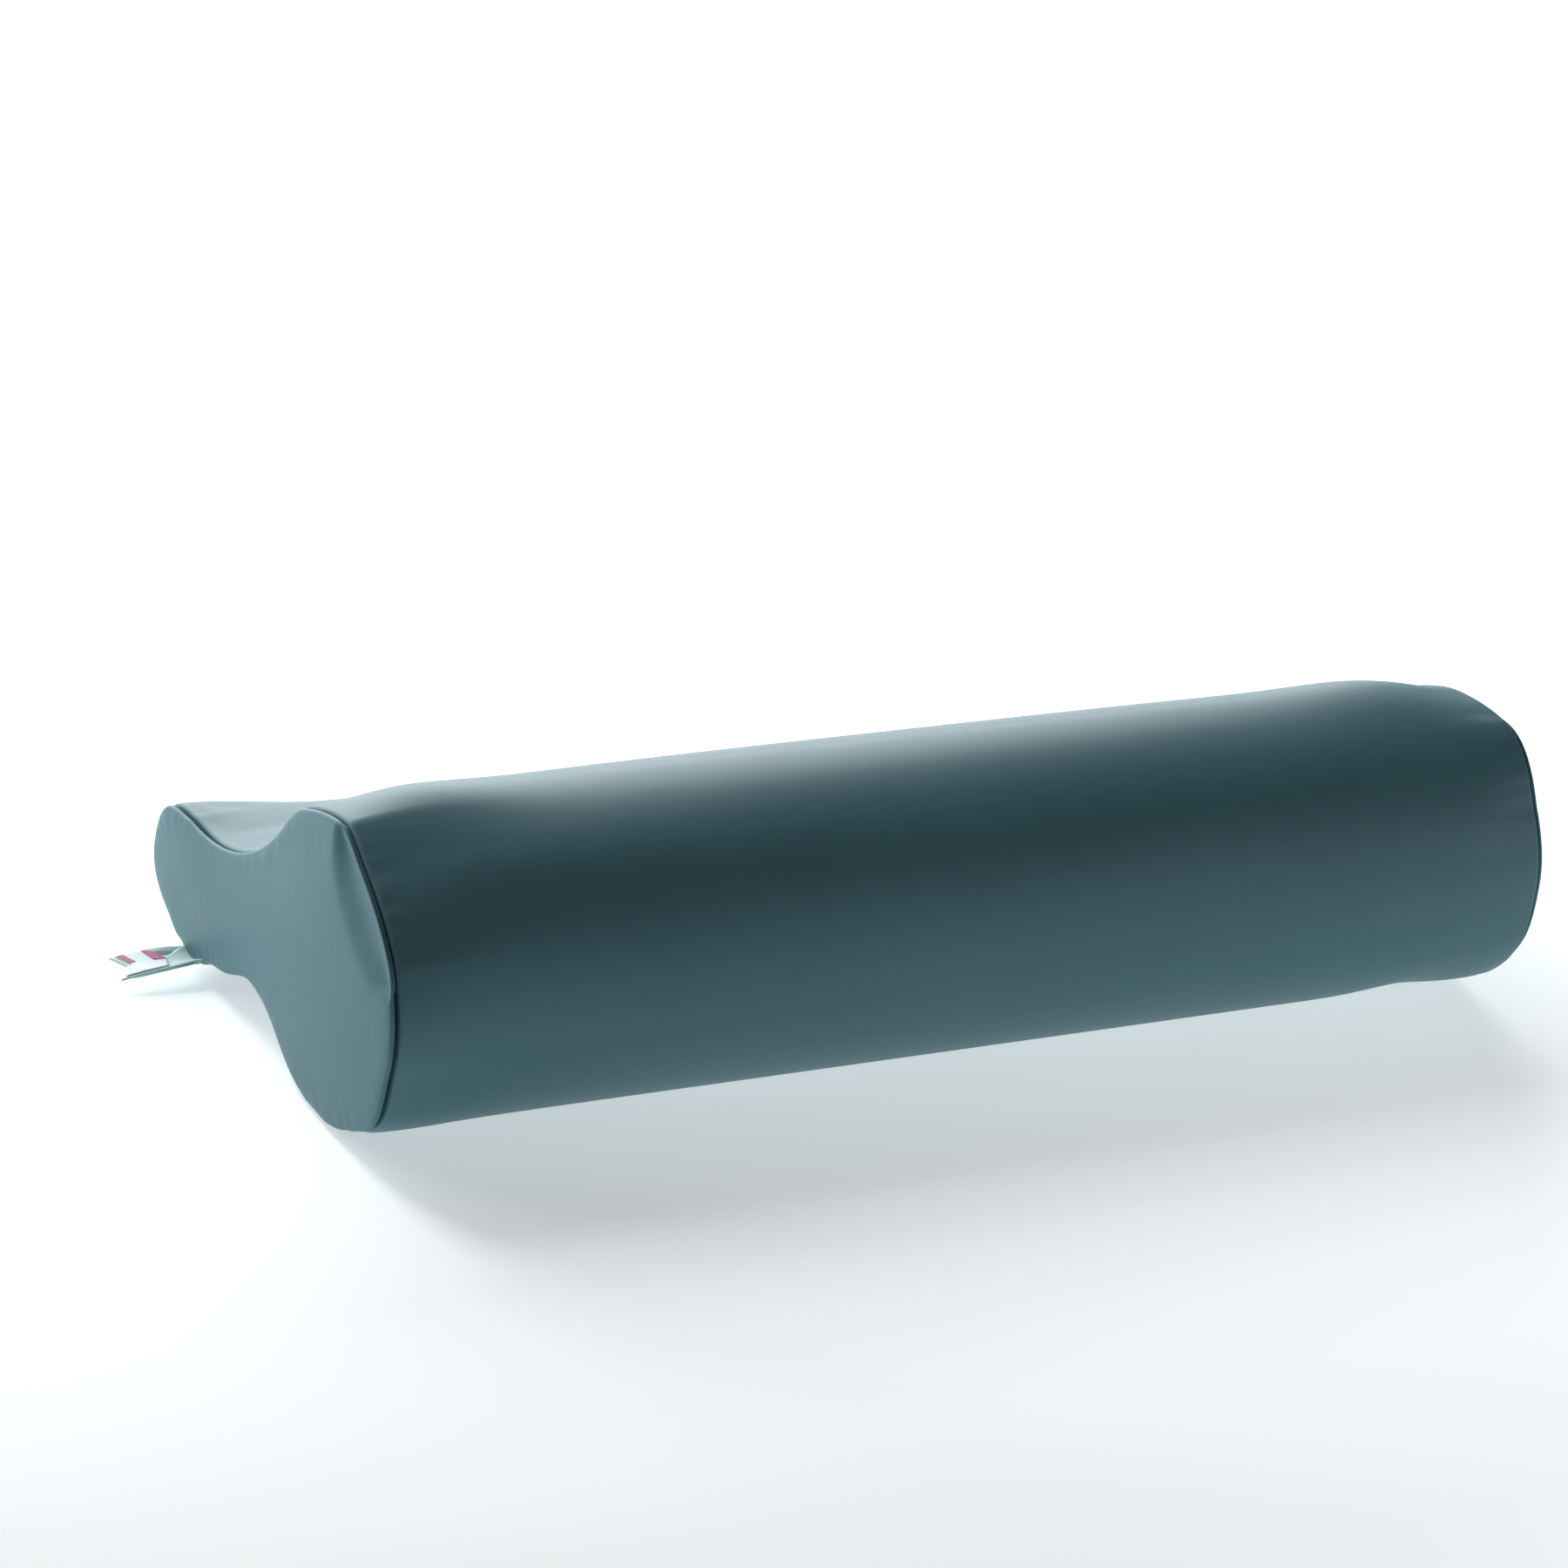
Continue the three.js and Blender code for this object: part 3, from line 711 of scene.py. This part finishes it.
# ---- stitches ----
# One stitch is a short rounded length of thread from a to b, with up square to it.
def addStitch(points, faces, a, b, radius, up):
    first = len(points)
    a, b = np.array(a, float), np.array(b, float)
    run = (b - a) / np.linalg.norm(b - a)
    up = up - run * (up @ run)
    up = up / np.linalg.norm(up)
    aside = np.cross(run, up)
    sides = 6
    profile = [(0.0, 0.35), (0.12, 0.85), (0.5, 1.0), (0.88, 0.85), (1.0, 0.35)]
    for share, width in profile:
        centre = a + (b - a) * share
        for k in range(sides):
            turn = 2 * math.pi * k / sides
            points.append(centre + radius * width * (math.cos(turn) * up + math.sin(turn) * aside))
    for i in range(len(profile) - 1):
        for k in range(sides):
            m = (k + 1) % sides
            low, high = first + i * sides, first + (i + 1) * sides
            faces.append((low + m, low + k, high + k, high + m))
    faces.append(tuple(first + k for k in range(sides)))
    faces.append(tuple(first + (len(profile) - 1) * sides + k for k in reversed(range(sides))))


stitch = {"radius": 0.28 * mm, "length": 2.6 * mm, "pitch": 3.2 * mm, "seamInset": 5.2 * mm}


def makeSeamStitches(name, side):
    rim = warp(ring(side * (seamX + seamHalf), puff["rimDrop"], stitch["seamInset"]))
    closed = np.vstack([rim, rim[:1]])
    lengths = np.concatenate([[0], np.cumsum(np.linalg.norm(np.diff(closed, axis=0), axis=1))])
    count = int(lengths[-1] / stitch["pitch"])
    points, faces = [], []

    def at(distance):
        return np.array([np.interp(distance % lengths[-1], lengths, closed[:, i]) for i in range(3)])

    for i in range(count):
        start = lengths[-1] * i / count
        end = start + stitch["length"]
        addStitch(points, faces, at(start), at(end), stitch["radius"], np.array([1.0, 0, 0]))
    return meshFrom(name, points, faces)


# ---- zip, in the hollow under the waist ----
# Its frame: x along the pillow, t across the zip, depth into the pillow.
hollowCentre = filletCentre(pillow["bigRadius"], pillow["smallRadius"], pillow["underHollow"], -1)


def zipPoint(x, t, depth):
    angle = math.atan2(across[1], across[0]) - t / pillow["underHollow"]
    y, z = hollowCentre + (pillow["underHollow"] + depth) * np.array([math.cos(angle), math.sin(angle)])
    return np.array([x, y, z])


zipper = {
    "coilInner": 0.7 * mm, "coilOuter": 2.9 * mm, "coilTop": -0.4 * mm, "coilBottom": 1.2 * mm,
    "coilX": 266.3 * mm, "pitch": 1.5 * mm, "wire": 0.32 * mm,
}


def makeCoil(name, side):
    z = zipper
    middle = (z["coilInner"] + z["coilOuter"]) / 2
    halfWidth = (z["coilOuter"] - z["coilInner"]) / 2 - z["wire"]
    depth = (z["coilTop"] + z["coilBottom"]) / 2
    halfDepth = (z["coilBottom"] - z["coilTop"]) / 2 - z["wire"]
    start = -z["coilX"] + z["wire"]
    turns = int((z["coilX"] - z["wire"]) * 2 / z["pitch"])
    perTurn, sides = 8, 5
    centres, outs = [], []
    for i in range(turns * perTurn + 1):
        a = 2 * math.pi * i / perTurn
        x = start + z["pitch"] * i / perTurn
        for grow, places in ((0, centres), (z["wire"], outs)):
            t = side * (middle + (halfWidth + grow) * math.cos(a))
            places.append(zipPoint(x, t, depth + (halfDepth + grow) * math.sin(a)))
    centres, outs = np.array(centres), np.array(outs) - np.array(centres)
    runs = np.gradient(centres, axis=0)
    runs /= np.linalg.norm(runs, axis=1)[:, None]
    outs -= runs * np.sum(outs * runs, axis=1)[:, None]
    outs /= np.linalg.norm(outs, axis=1)[:, None]
    asides = np.cross(runs, outs)
    rings = []
    for k in range(sides):
        turn = 2 * math.pi * k / sides
        rings.append(centres + z["wire"] * (math.cos(turn) * outs + math.sin(turn) * asides))
    points = np.stack(rings, axis=1).reshape(-1, 3)
    faces = gridFaces(len(centres), sides)
    capEnds(faces, len(centres), sides)
    return meshFrom(name, points, faces)


def makeZipStitches(name, side):
    points, faces = [], []
    count = int(2 * zipHalf / stitch["pitch"])
    t = side * wrap["stitchAt"]
    depth = wrap["channel"] - 0.1 * mm
    for i in range(count):
        x = -zipHalf + (i + 0.5) * 2 * zipHalf / count
        a, b = [zipPoint(x + s * stitch["length"] / 2, t, depth) for s in (-1, 1)]
        addStitch(points, faces, a, b, stitch["radius"], np.array([0, *-across]))
    return meshFrom(name, points, faces)


# A CAD solid of small hardware with its edges rounded off.
def softened(node, name, width):
    thing = bpy.data.objects.new(name, nodes[node].data.copy())
    scene.collection.objects.link(thing)
    shape = bmesh.new()
    shape.from_mesh(thing.data)
    bmesh.ops.remove_doubles(shape, verts=shape.verts, dist=0.002 * mm)
    bmesh.ops.dissolve_limit(shape, angle_limit=math.radians(2), verts=shape.verts, edges=shape.edges)
    shape.to_mesh(thing.data)
    shape.free()
    sharpest = {"limit_method": "ANGLE", "angle_limit": math.radians(35)}
    addModifier(thing, "BEVEL", width=width, segments=3, use_clamp_overlap=True, **sharpest)
    bake(thing)
    thing.data.shade_smooth()
    return thing


# ---- pull tab and label ----
tab = {
    "length": 46 * mm, "halfWidth": 13 * mm, "notch": 7 * mm, "tipHeight": 8.6 * mm, "rootInset": 2.2 * mm,
    "thickness": 0.7 * mm, "layerGap": 1.5 * mm, "middleY": 161.6 * mm,
    "droop": 1.2 * mm, "arch": 0.8 * mm, "farShort": 0.03, "curl": 2.4 * mm,
}


# On the tab s is 0 at the root and 1 at the tips, and share is -1 at the near edge and 1 at the far one.
def tabPoint(s, share, lift):
    y = tab["middleY"] + share * tab["halfWidth"]
    rootZ = np.interp(y, tabRim[0], tabRim[1]) + tab["rootInset"]
    distance = s * (tab["length"] - tab["notch"] * (1 - abs(share)))
    s = distance / tab["length"]
    level = rootZ + (tab["tipHeight"] - rootZ) * (1 - (1 - s) ** 2)
    sag = tab["arch"] * math.sin(math.pi * s) - tab["droop"] * s * s
    out = distance * (1 - tab["farShort"] * (1 + share))  # the far edge is a little shorter
    return np.array([-seamX - seamHalf - out, y, level + sag + lift])


def smallRimUnderside():
    rim = warp(ring(-seamX, puff["rimDrop"], 0))
    low = rim[(rim[:, 2] < 30 * mm) & (rim[:, 1] > 120 * mm) & (rim[:, 1] < 205 * mm)]
    low = low[np.argsort(low[:, 1])]
    return low[:, 1], low[:, 2]


tabRim = smallRimUnderside()


# A thin strip on a grid. place gives a point for a row and a column, each from 0 to 1.
def makeStrip(name, rows, columns, place, thickness, offset):
    points = [place(i / rows, j / columns) for i in range(rows + 1) for j in range(columns + 1)]
    faces = gridFaces(rows + 1, columns + 1, isRing=False)
    return thicken(meshFrom(name, points, faces), thickness, offset)


def tabLayer(name, lift, near, farEdge):
    def place(s, column):
        share = near + (farEdge(s) - near) * column
        return tabPoint(s, share, lift(s, share))

    return makeStrip(name, 44, 22, place, tab["thickness"], 0)


def upperLift(s, share):
    return tab["layerGap"] * 0.5 * min(1, s * 6) * (1 - 0.7 * max(0, s - 0.75) / 0.25)


def lowerLift(s, share):
    curl = tab["curl"] * float(smooth(share, 0.5, 0.74)) * math.sin(math.pi * min(1, s * 1.15)) ** 0.7
    return -tab["layerGap"] * 0.9 * min(1, s * 6) * (1 - 0.8 * max(0, s - 0.8) / 0.2) + curl


def upperFar(s):
    return 0.98 - 0.62 * float(smooth(s, 0.04, 0.42)) + 0.58 * float(smooth(s, 0.42, 0.6))


upperTab = tabLayer("pull_tab_upper", upperLift, -1.0, upperFar)
lowerTab = tabLayer("pull_tab_lower", lowerLift, -0.84, lambda s: 1.0)

# The label and its two plain bars: shares of the tab's length and half width.
label = {
    "start": 0.44, "end": 0.95, "near": -0.86, "far": 0.9, "thickness": 0.35 * mm, "lift": 0.05 * mm,
    "innerBar": {"start": 0.46, "end": 0.63, "near": 0.02, "far": 0.86, "thickness": 0.2 * mm},
    "outerBar": {"start": 0.86, "end": 0.94, "near": 0.12, "far": 0.84, "thickness": 0.2 * mm},
}
barLift = label["lift"] + label["thickness"] + 0.02 * mm


# A place on top of the tab, above its upper layer.
def onTab(s, share, lift):
    return tabPoint(s, share, upperLift(s, share) + tab["thickness"] / 2 + lift)


def labelPatch(name, patch, lift):
    def place(row, column):
        s = patch["start"] + (patch["end"] - patch["start"]) * row
        width = min(patch["far"], upperFar(s) - 0.05) - patch["near"]
        return onTab(s, patch["near"] + width * column, lift)

    return makeStrip(name, 24, 18, place, patch["thickness"], 1)


satinLabel = labelPatch("satin_label", label, label["lift"])
innerBar = labelPatch("woven_bar_inner", label["innerBar"], barLift)
outerBar = labelPatch("woven_bar_outer", label["outerBar"], barLift)


def makeLabelTack():
    points, faces = [], []
    s = label["start"] + 0.025
    shares = np.linspace(label["near"] + 0.06, min(label["far"], upperFar(s)) - 0.12, 9)
    for a, b in zip(shares[:-1], shares[1:]):
        ends = [onTab(s, share, barLift) for share in (a, a + (b - a) * 0.8)]
        addStitch(points, faces, *ends, 0.2 * mm, np.array([0, 0, 1.0]))
    return meshFrom("label_tack", points, faces)


foamBlock = makeFoam()
leftStitches = makeSeamStitches("left_seam_stitches", -1)
rightStitches = makeSeamStitches("right_seam_stitches", 1)
frontCoil, backCoil = makeCoil("coil_turns_front", -1), makeCoil("coil_turns_back", 1)
frontZipStitches = makeZipStitches("zip_stitches_front", -1)
backZipStitches = makeZipStitches("zip_stitches_back", 1)
labelTack = makeLabelTack()
sliderBody = softened("zip_slider", "slider_body", 0.3 * mm)
sliderPull = softened("zip_pull", "slider_pull", 0.3 * mm)
stops = [softened(node, node + "_clamp", 0.25 * mm)
         for node in ("zip_bottom_stop", "zip_top_stop_front", "zip_top_stop_back")]
print("foam, stitches, zip and tab built")

# Each piece, the CAD node that it stands for if any, and the slot of its finish.
placing = [
    (wrapCover, "wrap_panel", "cover"),
    (leftPanel, "left_end_panel", "cover"),
    (rightPanel, "right_end_panel", "cover"),
    (foamBlock, "foam_core", "foam"),
    (leftStitches, "left_seam_thread", "thread"),
    (rightStitches, "right_seam_thread", "thread"),
    (frontCoil, "zip_coil_front", "zip_coil"),
    (backCoil, "zip_coil_back", "zip_coil"),
    (frontZipStitches, "zip_stitching_front", "thread"),
    (backZipStitches, "zip_stitching_back", "thread"),
    (upperTab, "pull_tab", "tab_fabric"),
    (lowerTab, None, "tab_fabric"),
    (satinLabel, "woven_label", "label_satin"),
    (innerBar, None, "label_satin"),
    (outerBar, None, "label_satin"),
    (labelTack, "label_stitching", "thread"),
    (sliderBody, "zip_slider", "zip_metal"),
    (sliderPull, "zip_pull", "zip_metal"),
    (stops[0], "zip_bottom_stop", "zip_metal"),
    (stops[1], "zip_top_stop_front", "zip_metal"),
    (stops[2], "zip_top_stop_back", "zip_metal"),
]
movingBodies = {"zip_slider": "slider", "zip_pull": "pull"}
for thing, node, slotName in placing:
    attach(thing, movingBodies.get(node, "cushion"))
    if node:
        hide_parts(node)


# ---- materials ----
def linear(hexColour):
    parts = [int(hexColour[i:i + 2], 16) / 255 for i in (1, 3, 5)]
    return [p / 12.92 if p <= 0.04045 else ((p + 0.055) / 1.055) ** 2.4 for p in parts] + [1.0]


def addNode(tree, kind, inputs=(), **settings):
    node = tree.nodes.new(kind)
    setAll(node, settings)
    for key, value in dict(inputs).items():
        if isinstance(value, bpy.types.NodeSocket):
            tree.links.new(value, node.inputs[key])
        else:
            node.inputs[key].default_value = value
    return node


# A material, its node tree and the socket that gives a place on the piece in metres.
def newMaterial(name):
    material = bpy.data.materials.new(name)
    material.use_nodes = True
    tree = material.node_tree
    tree.nodes.clear()
    return material, tree, addNode(tree, "ShaderNodeTexCoord").outputs["Object"]


def setMaterial(thing, material):
    thing.data.materials.clear()
    thing.data.materials.append(material)


# A finish whose two shades and low relief both follow one pattern.
def patterned(tree, pattern, look, **more):
    colour = addNode(tree, "ShaderNodeMix", {
        0: pattern, 6: linear(look["colour"]), 7: linear(look["shade"]),
    }, data_type="RGBA")
    bump = addNode(tree, "ShaderNodeBump", {
        "Height": pattern, "Strength": look["bump"], "Distance": look["relief"],
    })
    shader = addNode(tree, "ShaderNodeBsdfPrincipled", {
        "Base Color": colour.outputs[2], "Roughness": look["roughness"],
        "Normal": bump.outputs["Normal"], **more,
    })
    addNode(tree, "ShaderNodeOutputMaterial", {"Surface": shader.outputs["BSDF"]})


# PU leather, embossed and matt-lacquered: a satin sheen over a fine pebble grain.
leather = {
    "colour": "#507a84", "shade": "#466e78", "roughness": 0.5, "specular": 0.32,
    "grain": 0.9 * mm, "grainBump": 0.12, "wrinkle": 14 * mm, "wrinkleBump": 0.12, "mottle": 111.1 * mm,
}


def embossedLeather():
    material, tree, place = newMaterial("embossed PU leather")
    mottle = addNode(tree, "ShaderNodeTexNoise", {
        "Vector": place, "Scale": 1 / leather["mottle"], "Detail": 3.0,
    })
    colour = addNode(tree, "ShaderNodeMix", {
        0: mottle.outputs["Fac"], 6: linear(leather["colour"]), 7: linear(leather["shade"]),
    }, data_type="RGBA")
    grain = addNode(tree, "ShaderNodeTexVoronoi", {
        "Vector": place, "Scale": 1 / leather["grain"],
    }, feature="F1")
    wrinkles = addNode(tree, "ShaderNodeTexNoise", {
        "Vector": place, "Scale": 1 / leather["wrinkle"], "Detail": 2.0, "Distortion": 0.6,
    })
    soft = addNode(tree, "ShaderNodeBump", {
        "Height": wrinkles.outputs["Fac"], "Strength": leather["wrinkleBump"], "Distance": 1.2 * mm,
    })
    bump = addNode(tree, "ShaderNodeBump", {
        "Height": grain.outputs["Distance"], "Strength": leather["grainBump"], "Distance": 0.15 * mm,
        "Normal": soft.outputs["Normal"],
    })
    shader = addNode(tree, "ShaderNodeBsdfPrincipled", {
        "Base Color": colour.outputs[2], "Roughness": leather["roughness"], "IOR": 1.5,
        "Specular IOR Level": leather["specular"], "Normal": bump.outputs["Normal"],
    })
    addNode(tree, "ShaderNodeOutputMaterial", {"Surface": shader.outputs["BSDF"]})
    return material


# PU leather in mint, smooth and lacquered: thinner than the cover's, and a little glossier.
mint = {
    "colour": "#c6dfde", "shade": "#b3d1d2", "roughness": 0.42, "mottle": 16.67 * mm, "bump": 0.15,
    "relief": 0.3 * mm,
}


def mintLeather():
    material, tree, place = newMaterial("mint PU leather")
    mottle = addNode(tree, "ShaderNodeTexNoise", {
        "Vector": place, "Scale": 1 / mint["mottle"], "Detail": 2.0,
    })
    patterned(tree, mottle.outputs["Fac"], mint, IOR=1.5)
    return material


# Polyester tape, woven and dyed: dull, with a ribbed look. Satin ribbon, woven from fine bright yarn: a
# soft sheen. Viscose yarn in pink, woven into the label: a duller, ribbed patch on the satin.
# The spacing of the threads is some two times the real one, so that the weave shows.
zipTape = {
    "colour": "#3f5960", "shade": "#56757d", "spacing": 0.7 * mm, "roughness": 0.85, "bump": 0.5,
    "relief": 0.15 * mm, "sheen": 0.0,
}
satin = {
    "colour": "#c9d9de", "shade": "#dfe9ec", "spacing": 0.45 * mm, "roughness": 0.5, "bump": 0.2,
    "relief": 0.15 * mm, "sheen": 0.3,
}
pinkYarn = {
    "colour": "#b04a7c", "shade": "#d0699a", "spacing": 0.5 * mm, "roughness": 0.65, "bump": 0.6,
    "relief": 0.15 * mm, "sheen": 0.2,
}


# Threads cross at right angles, so two sets of fine bands make a weave. A wave covers two threads.
def wovenCloth(name, cloth):
    material, tree, place = newMaterial(name)
    warpBands, weftBands = [addNode(tree, "ShaderNodeTexWave", {
        "Vector": place, "Scale": math.pi / 20 / cloth["spacing"], "Distortion": 0.4, "Detail": 1.0,
    }, bands_direction=direction) for direction in ("X", "Y")]
    weave = addNode(tree, "ShaderNodeMath", {
        0: warpBands.outputs["Fac"], 1: weftBands.outputs["Fac"],
    }, operation="MULTIPLY")
    sheen = {"Sheen Weight": cloth["sheen"], "Sheen Roughness": 0.4}
    patterned(tree, weave.outputs[0], cloth, IOR=1.5, **sheen)
    return material


# Polyester sewing thread: two plies twisted, seen as fine slanted bands with a slight shine. Real plies
# turn about every 0.4 mm, so they are drawn three times as coarse.
thread = {
    "colour": "#41585f", "shade": "#5d7a82", "ply": 1.208 * mm, "roughness": 0.6, "bump": 0.4,
    "relief": 0.05 * mm,
}


def sewingThread():
    material, tree, place = newMaterial("polyester sewing thread")
    plies = addNode(tree, "ShaderNodeTexWave", {
        "Vector": place, "Scale": math.pi / 10 / thread["ply"], "Distortion": 1.0,
    }, bands_direction="DIAGONAL")
    patterned(tree, plies.outputs["Fac"], thread)
    return material


# Polyurethane foam, cut by a hot wire: open cells show as tiny pits, painted darker as shade in their
# hollows. Real cells are about half as big.
openFoam = {
    "colour": "#cfc8b0", "shade": "#ece6d3", "cell": 1.2 * mm, "roughness": 0.95, "bump": 0.6,
    "relief": 0.4 * mm,
}


def cutFoam():
    material, tree, place = newMaterial("cut polyurethane foam")
    cells = addNode(tree, "ShaderNodeTexVoronoi", {"Vector": place, "Scale": 1 / openFoam["cell"]})
    # the pits' darker tone is painted shade
    patterned(tree, cells.outputs["Distance"], openFoam)
    return material


# Nylon, drawn as wire and wound into a coil: even, slightly waxy shine, with faint streaks.
nylon = {"colour": "#4f6c74", "roughness": (0.34, 0.5), "streak": 1.11 * mm}


def drawnNylon():
    material, tree, place = newMaterial("drawn nylon coil")
    streaks = addNode(tree, "ShaderNodeTexNoise", {"Vector": place, "Scale": 1 / nylon["streak"]})
    smoothest, roughest = nylon["roughness"]
    rough = addNode(tree, "ShaderNodeMapRange", {0: streaks.outputs["Fac"], 3: smoothest, 4: roughest})
    shader = addNode(tree, "ShaderNodeBsdfPrincipled", {
        "Base Color": linear(nylon["colour"]), "Roughness": rough.outputs[0], "IOR": 1.53,
    })
    addNode(tree, "ShaderNodeOutputMaterial", {"Surface": shader.outputs["BSDF"]})
    return material


# Zinc die casting, tumbled and nickel plated: bright, with faint tumbling marks and duller patches.
nickel = {"colour": "#c4c2bb", "roughness": (0.2, 0.42), "mark": 1.43 * mm, "bump": 0.08}


def platedNickel():
    material, tree, place = newMaterial("nickel plated zinc")
    marks = addNode(tree, "ShaderNodeTexNoise", {
        "Vector": place, "Scale": 1 / nickel["mark"], "Detail": 4.0,
    })
    smoothest, roughest = nickel["roughness"]
    rough = addNode(tree, "ShaderNodeMapRange", {0: marks.outputs["Fac"], 3: smoothest, 4: roughest})
    bump = addNode(tree, "ShaderNodeBump", {
        "Height": marks.outputs["Fac"], "Strength": nickel["bump"], "Distance": 0.1 * mm,
    })
    shader = addNode(tree, "ShaderNodeBsdfPrincipled", {
        "Base Color": linear(nickel["colour"]), "Metallic": 1.0, "Roughness": rough.outputs[0],
        "Normal": bump.outputs["Normal"],
    })
    addNode(tree, "ShaderNodeOutputMaterial", {"Surface": shader.outputs["BSDF"]})
    return material


finishes = {
    "cover": embossedLeather(), "tab_fabric": mintLeather(), "thread": sewingThread(), "foam": cutFoam(),
    "zip_coil": drawnNylon(), "zip_metal": platedNickel(),
    "label_satin": wovenCloth("woven satin ribbon", satin),
}
tapeFinish = wovenCloth("woven zip tape", zipTape)
pinkFinish = wovenCloth("pink woven yarn", pinkYarn)
for thing, node, slotName in placing:
    setMaterial(thing, finishes[slotName])
for bar in (innerBar, outerBar):
    setMaterial(bar, pinkFinish)
for node in ("zip_tape_front", "zip_tape_back"):
    setMaterial(nodes[node], tapeFinish)
print("materials ready")

# ---- studio ----
# The floor glows a little: painted light that stands in for the bounce of a lit white sweep. The painted
# glow is weaker towards darkEnd, at the front left, so the pillow's front left gets less of it.
studio = {
    "floor": "#e4e9ea", "floorHalf": 20, "world": "#dfe6e8", "worldStrength": 0.05,
    "floorGlow": 0.72, "darkGlow": 0.04, "darkEnd": (-1.5, -1.3, 0), "darkReach": (0.5, 2.2),
}


def addStudio():
    scene.view_settings.view_transform = "Standard"
    world = bpy.data.worlds.new("studio")
    world.use_nodes = True
    back = world.node_tree.nodes["Background"]
    back.inputs["Color"].default_value = linear(studio["world"])
    back.inputs["Strength"].default_value = studio["worldStrength"]
    scene.world = world
    half, z = studio["floorHalf"], -0.2 * mm
    corners = [(-half, -half, z), (half, -half, z), (half, half, z), (-half, half, z)]
    floor = meshFrom("floor", corners, [(0, 1, 2, 3)])
    # the floor's emission is painted light, weakest near darkEnd
    material, tree, place = newMaterial("studio floor with painted glow")
    away = addNode(tree, "ShaderNodeVectorMath", {0: place, 1: studio["darkEnd"]}, operation="DISTANCE")
    near, far = studio["darkReach"]
    glow = addNode(tree, "ShaderNodeMapRange", {
        0: away.outputs["Value"], 1: near, 2: far, 3: studio["darkGlow"], 4: studio["floorGlow"],
    }, interpolation_type="SMOOTHSTEP")
    shader = addNode(tree, "ShaderNodeBsdfPrincipled", {
        "Base Color": linear(studio["floor"]), "Roughness": 0.8,
        "Emission Color": linear(studio["floor"]), "Emission Strength": glow.outputs[0],
    })
    addNode(tree, "ShaderNodeOutputMaterial", {"Surface": shader.outputs["BSDF"]})
    setMaterial(floor, material)


lights = {
    "top_back": {"place": (0.0, 2.1, 1.7), "aim": (0.0, 0.05, 0.08), "size": (3.4, 1.0), "power": 42},
    "low_back": {"place": (0.0, 2.5, 0.75), "aim": (0.0, 0.1, 0.1), "size": (3.8, 0.5), "power": 66},
    "left": {"place": (-1.9, 1.3, 0.95), "aim": (-0.3, 0.08, 0.08), "size": (0.9, 0.9), "power": 11},
    "over_left": {"place": (-0.7, 0.95, 1.5), "aim": (-0.25, 0.14, 0.1), "size": (0.5, 0.5), "power": 10.5},
    "right_fill": {"place": (1.9, -1.5, 0.7), "aim": (0.3, 0, 0.1), "size": (1.0, 0.8), "power": 7.5},
}


def addLights():
    for name, light in lights.items():
        data = bpy.data.lights.new(name, "AREA")
        data.shape = "RECTANGLE"
        data.size, data.size_y = light["size"]
        data.energy = light["power"]
        lamp = bpy.data.objects.new(name, data)
        lamp.location = light["place"]
        aim = Vector(light["aim"]) - Vector(light["place"])
        lamp.rotation_euler = aim.to_track_quat("-Z", "Y").to_euler()
        scene.collection.objects.link(lamp)


addStudio()
addLights()
print("studio lit")
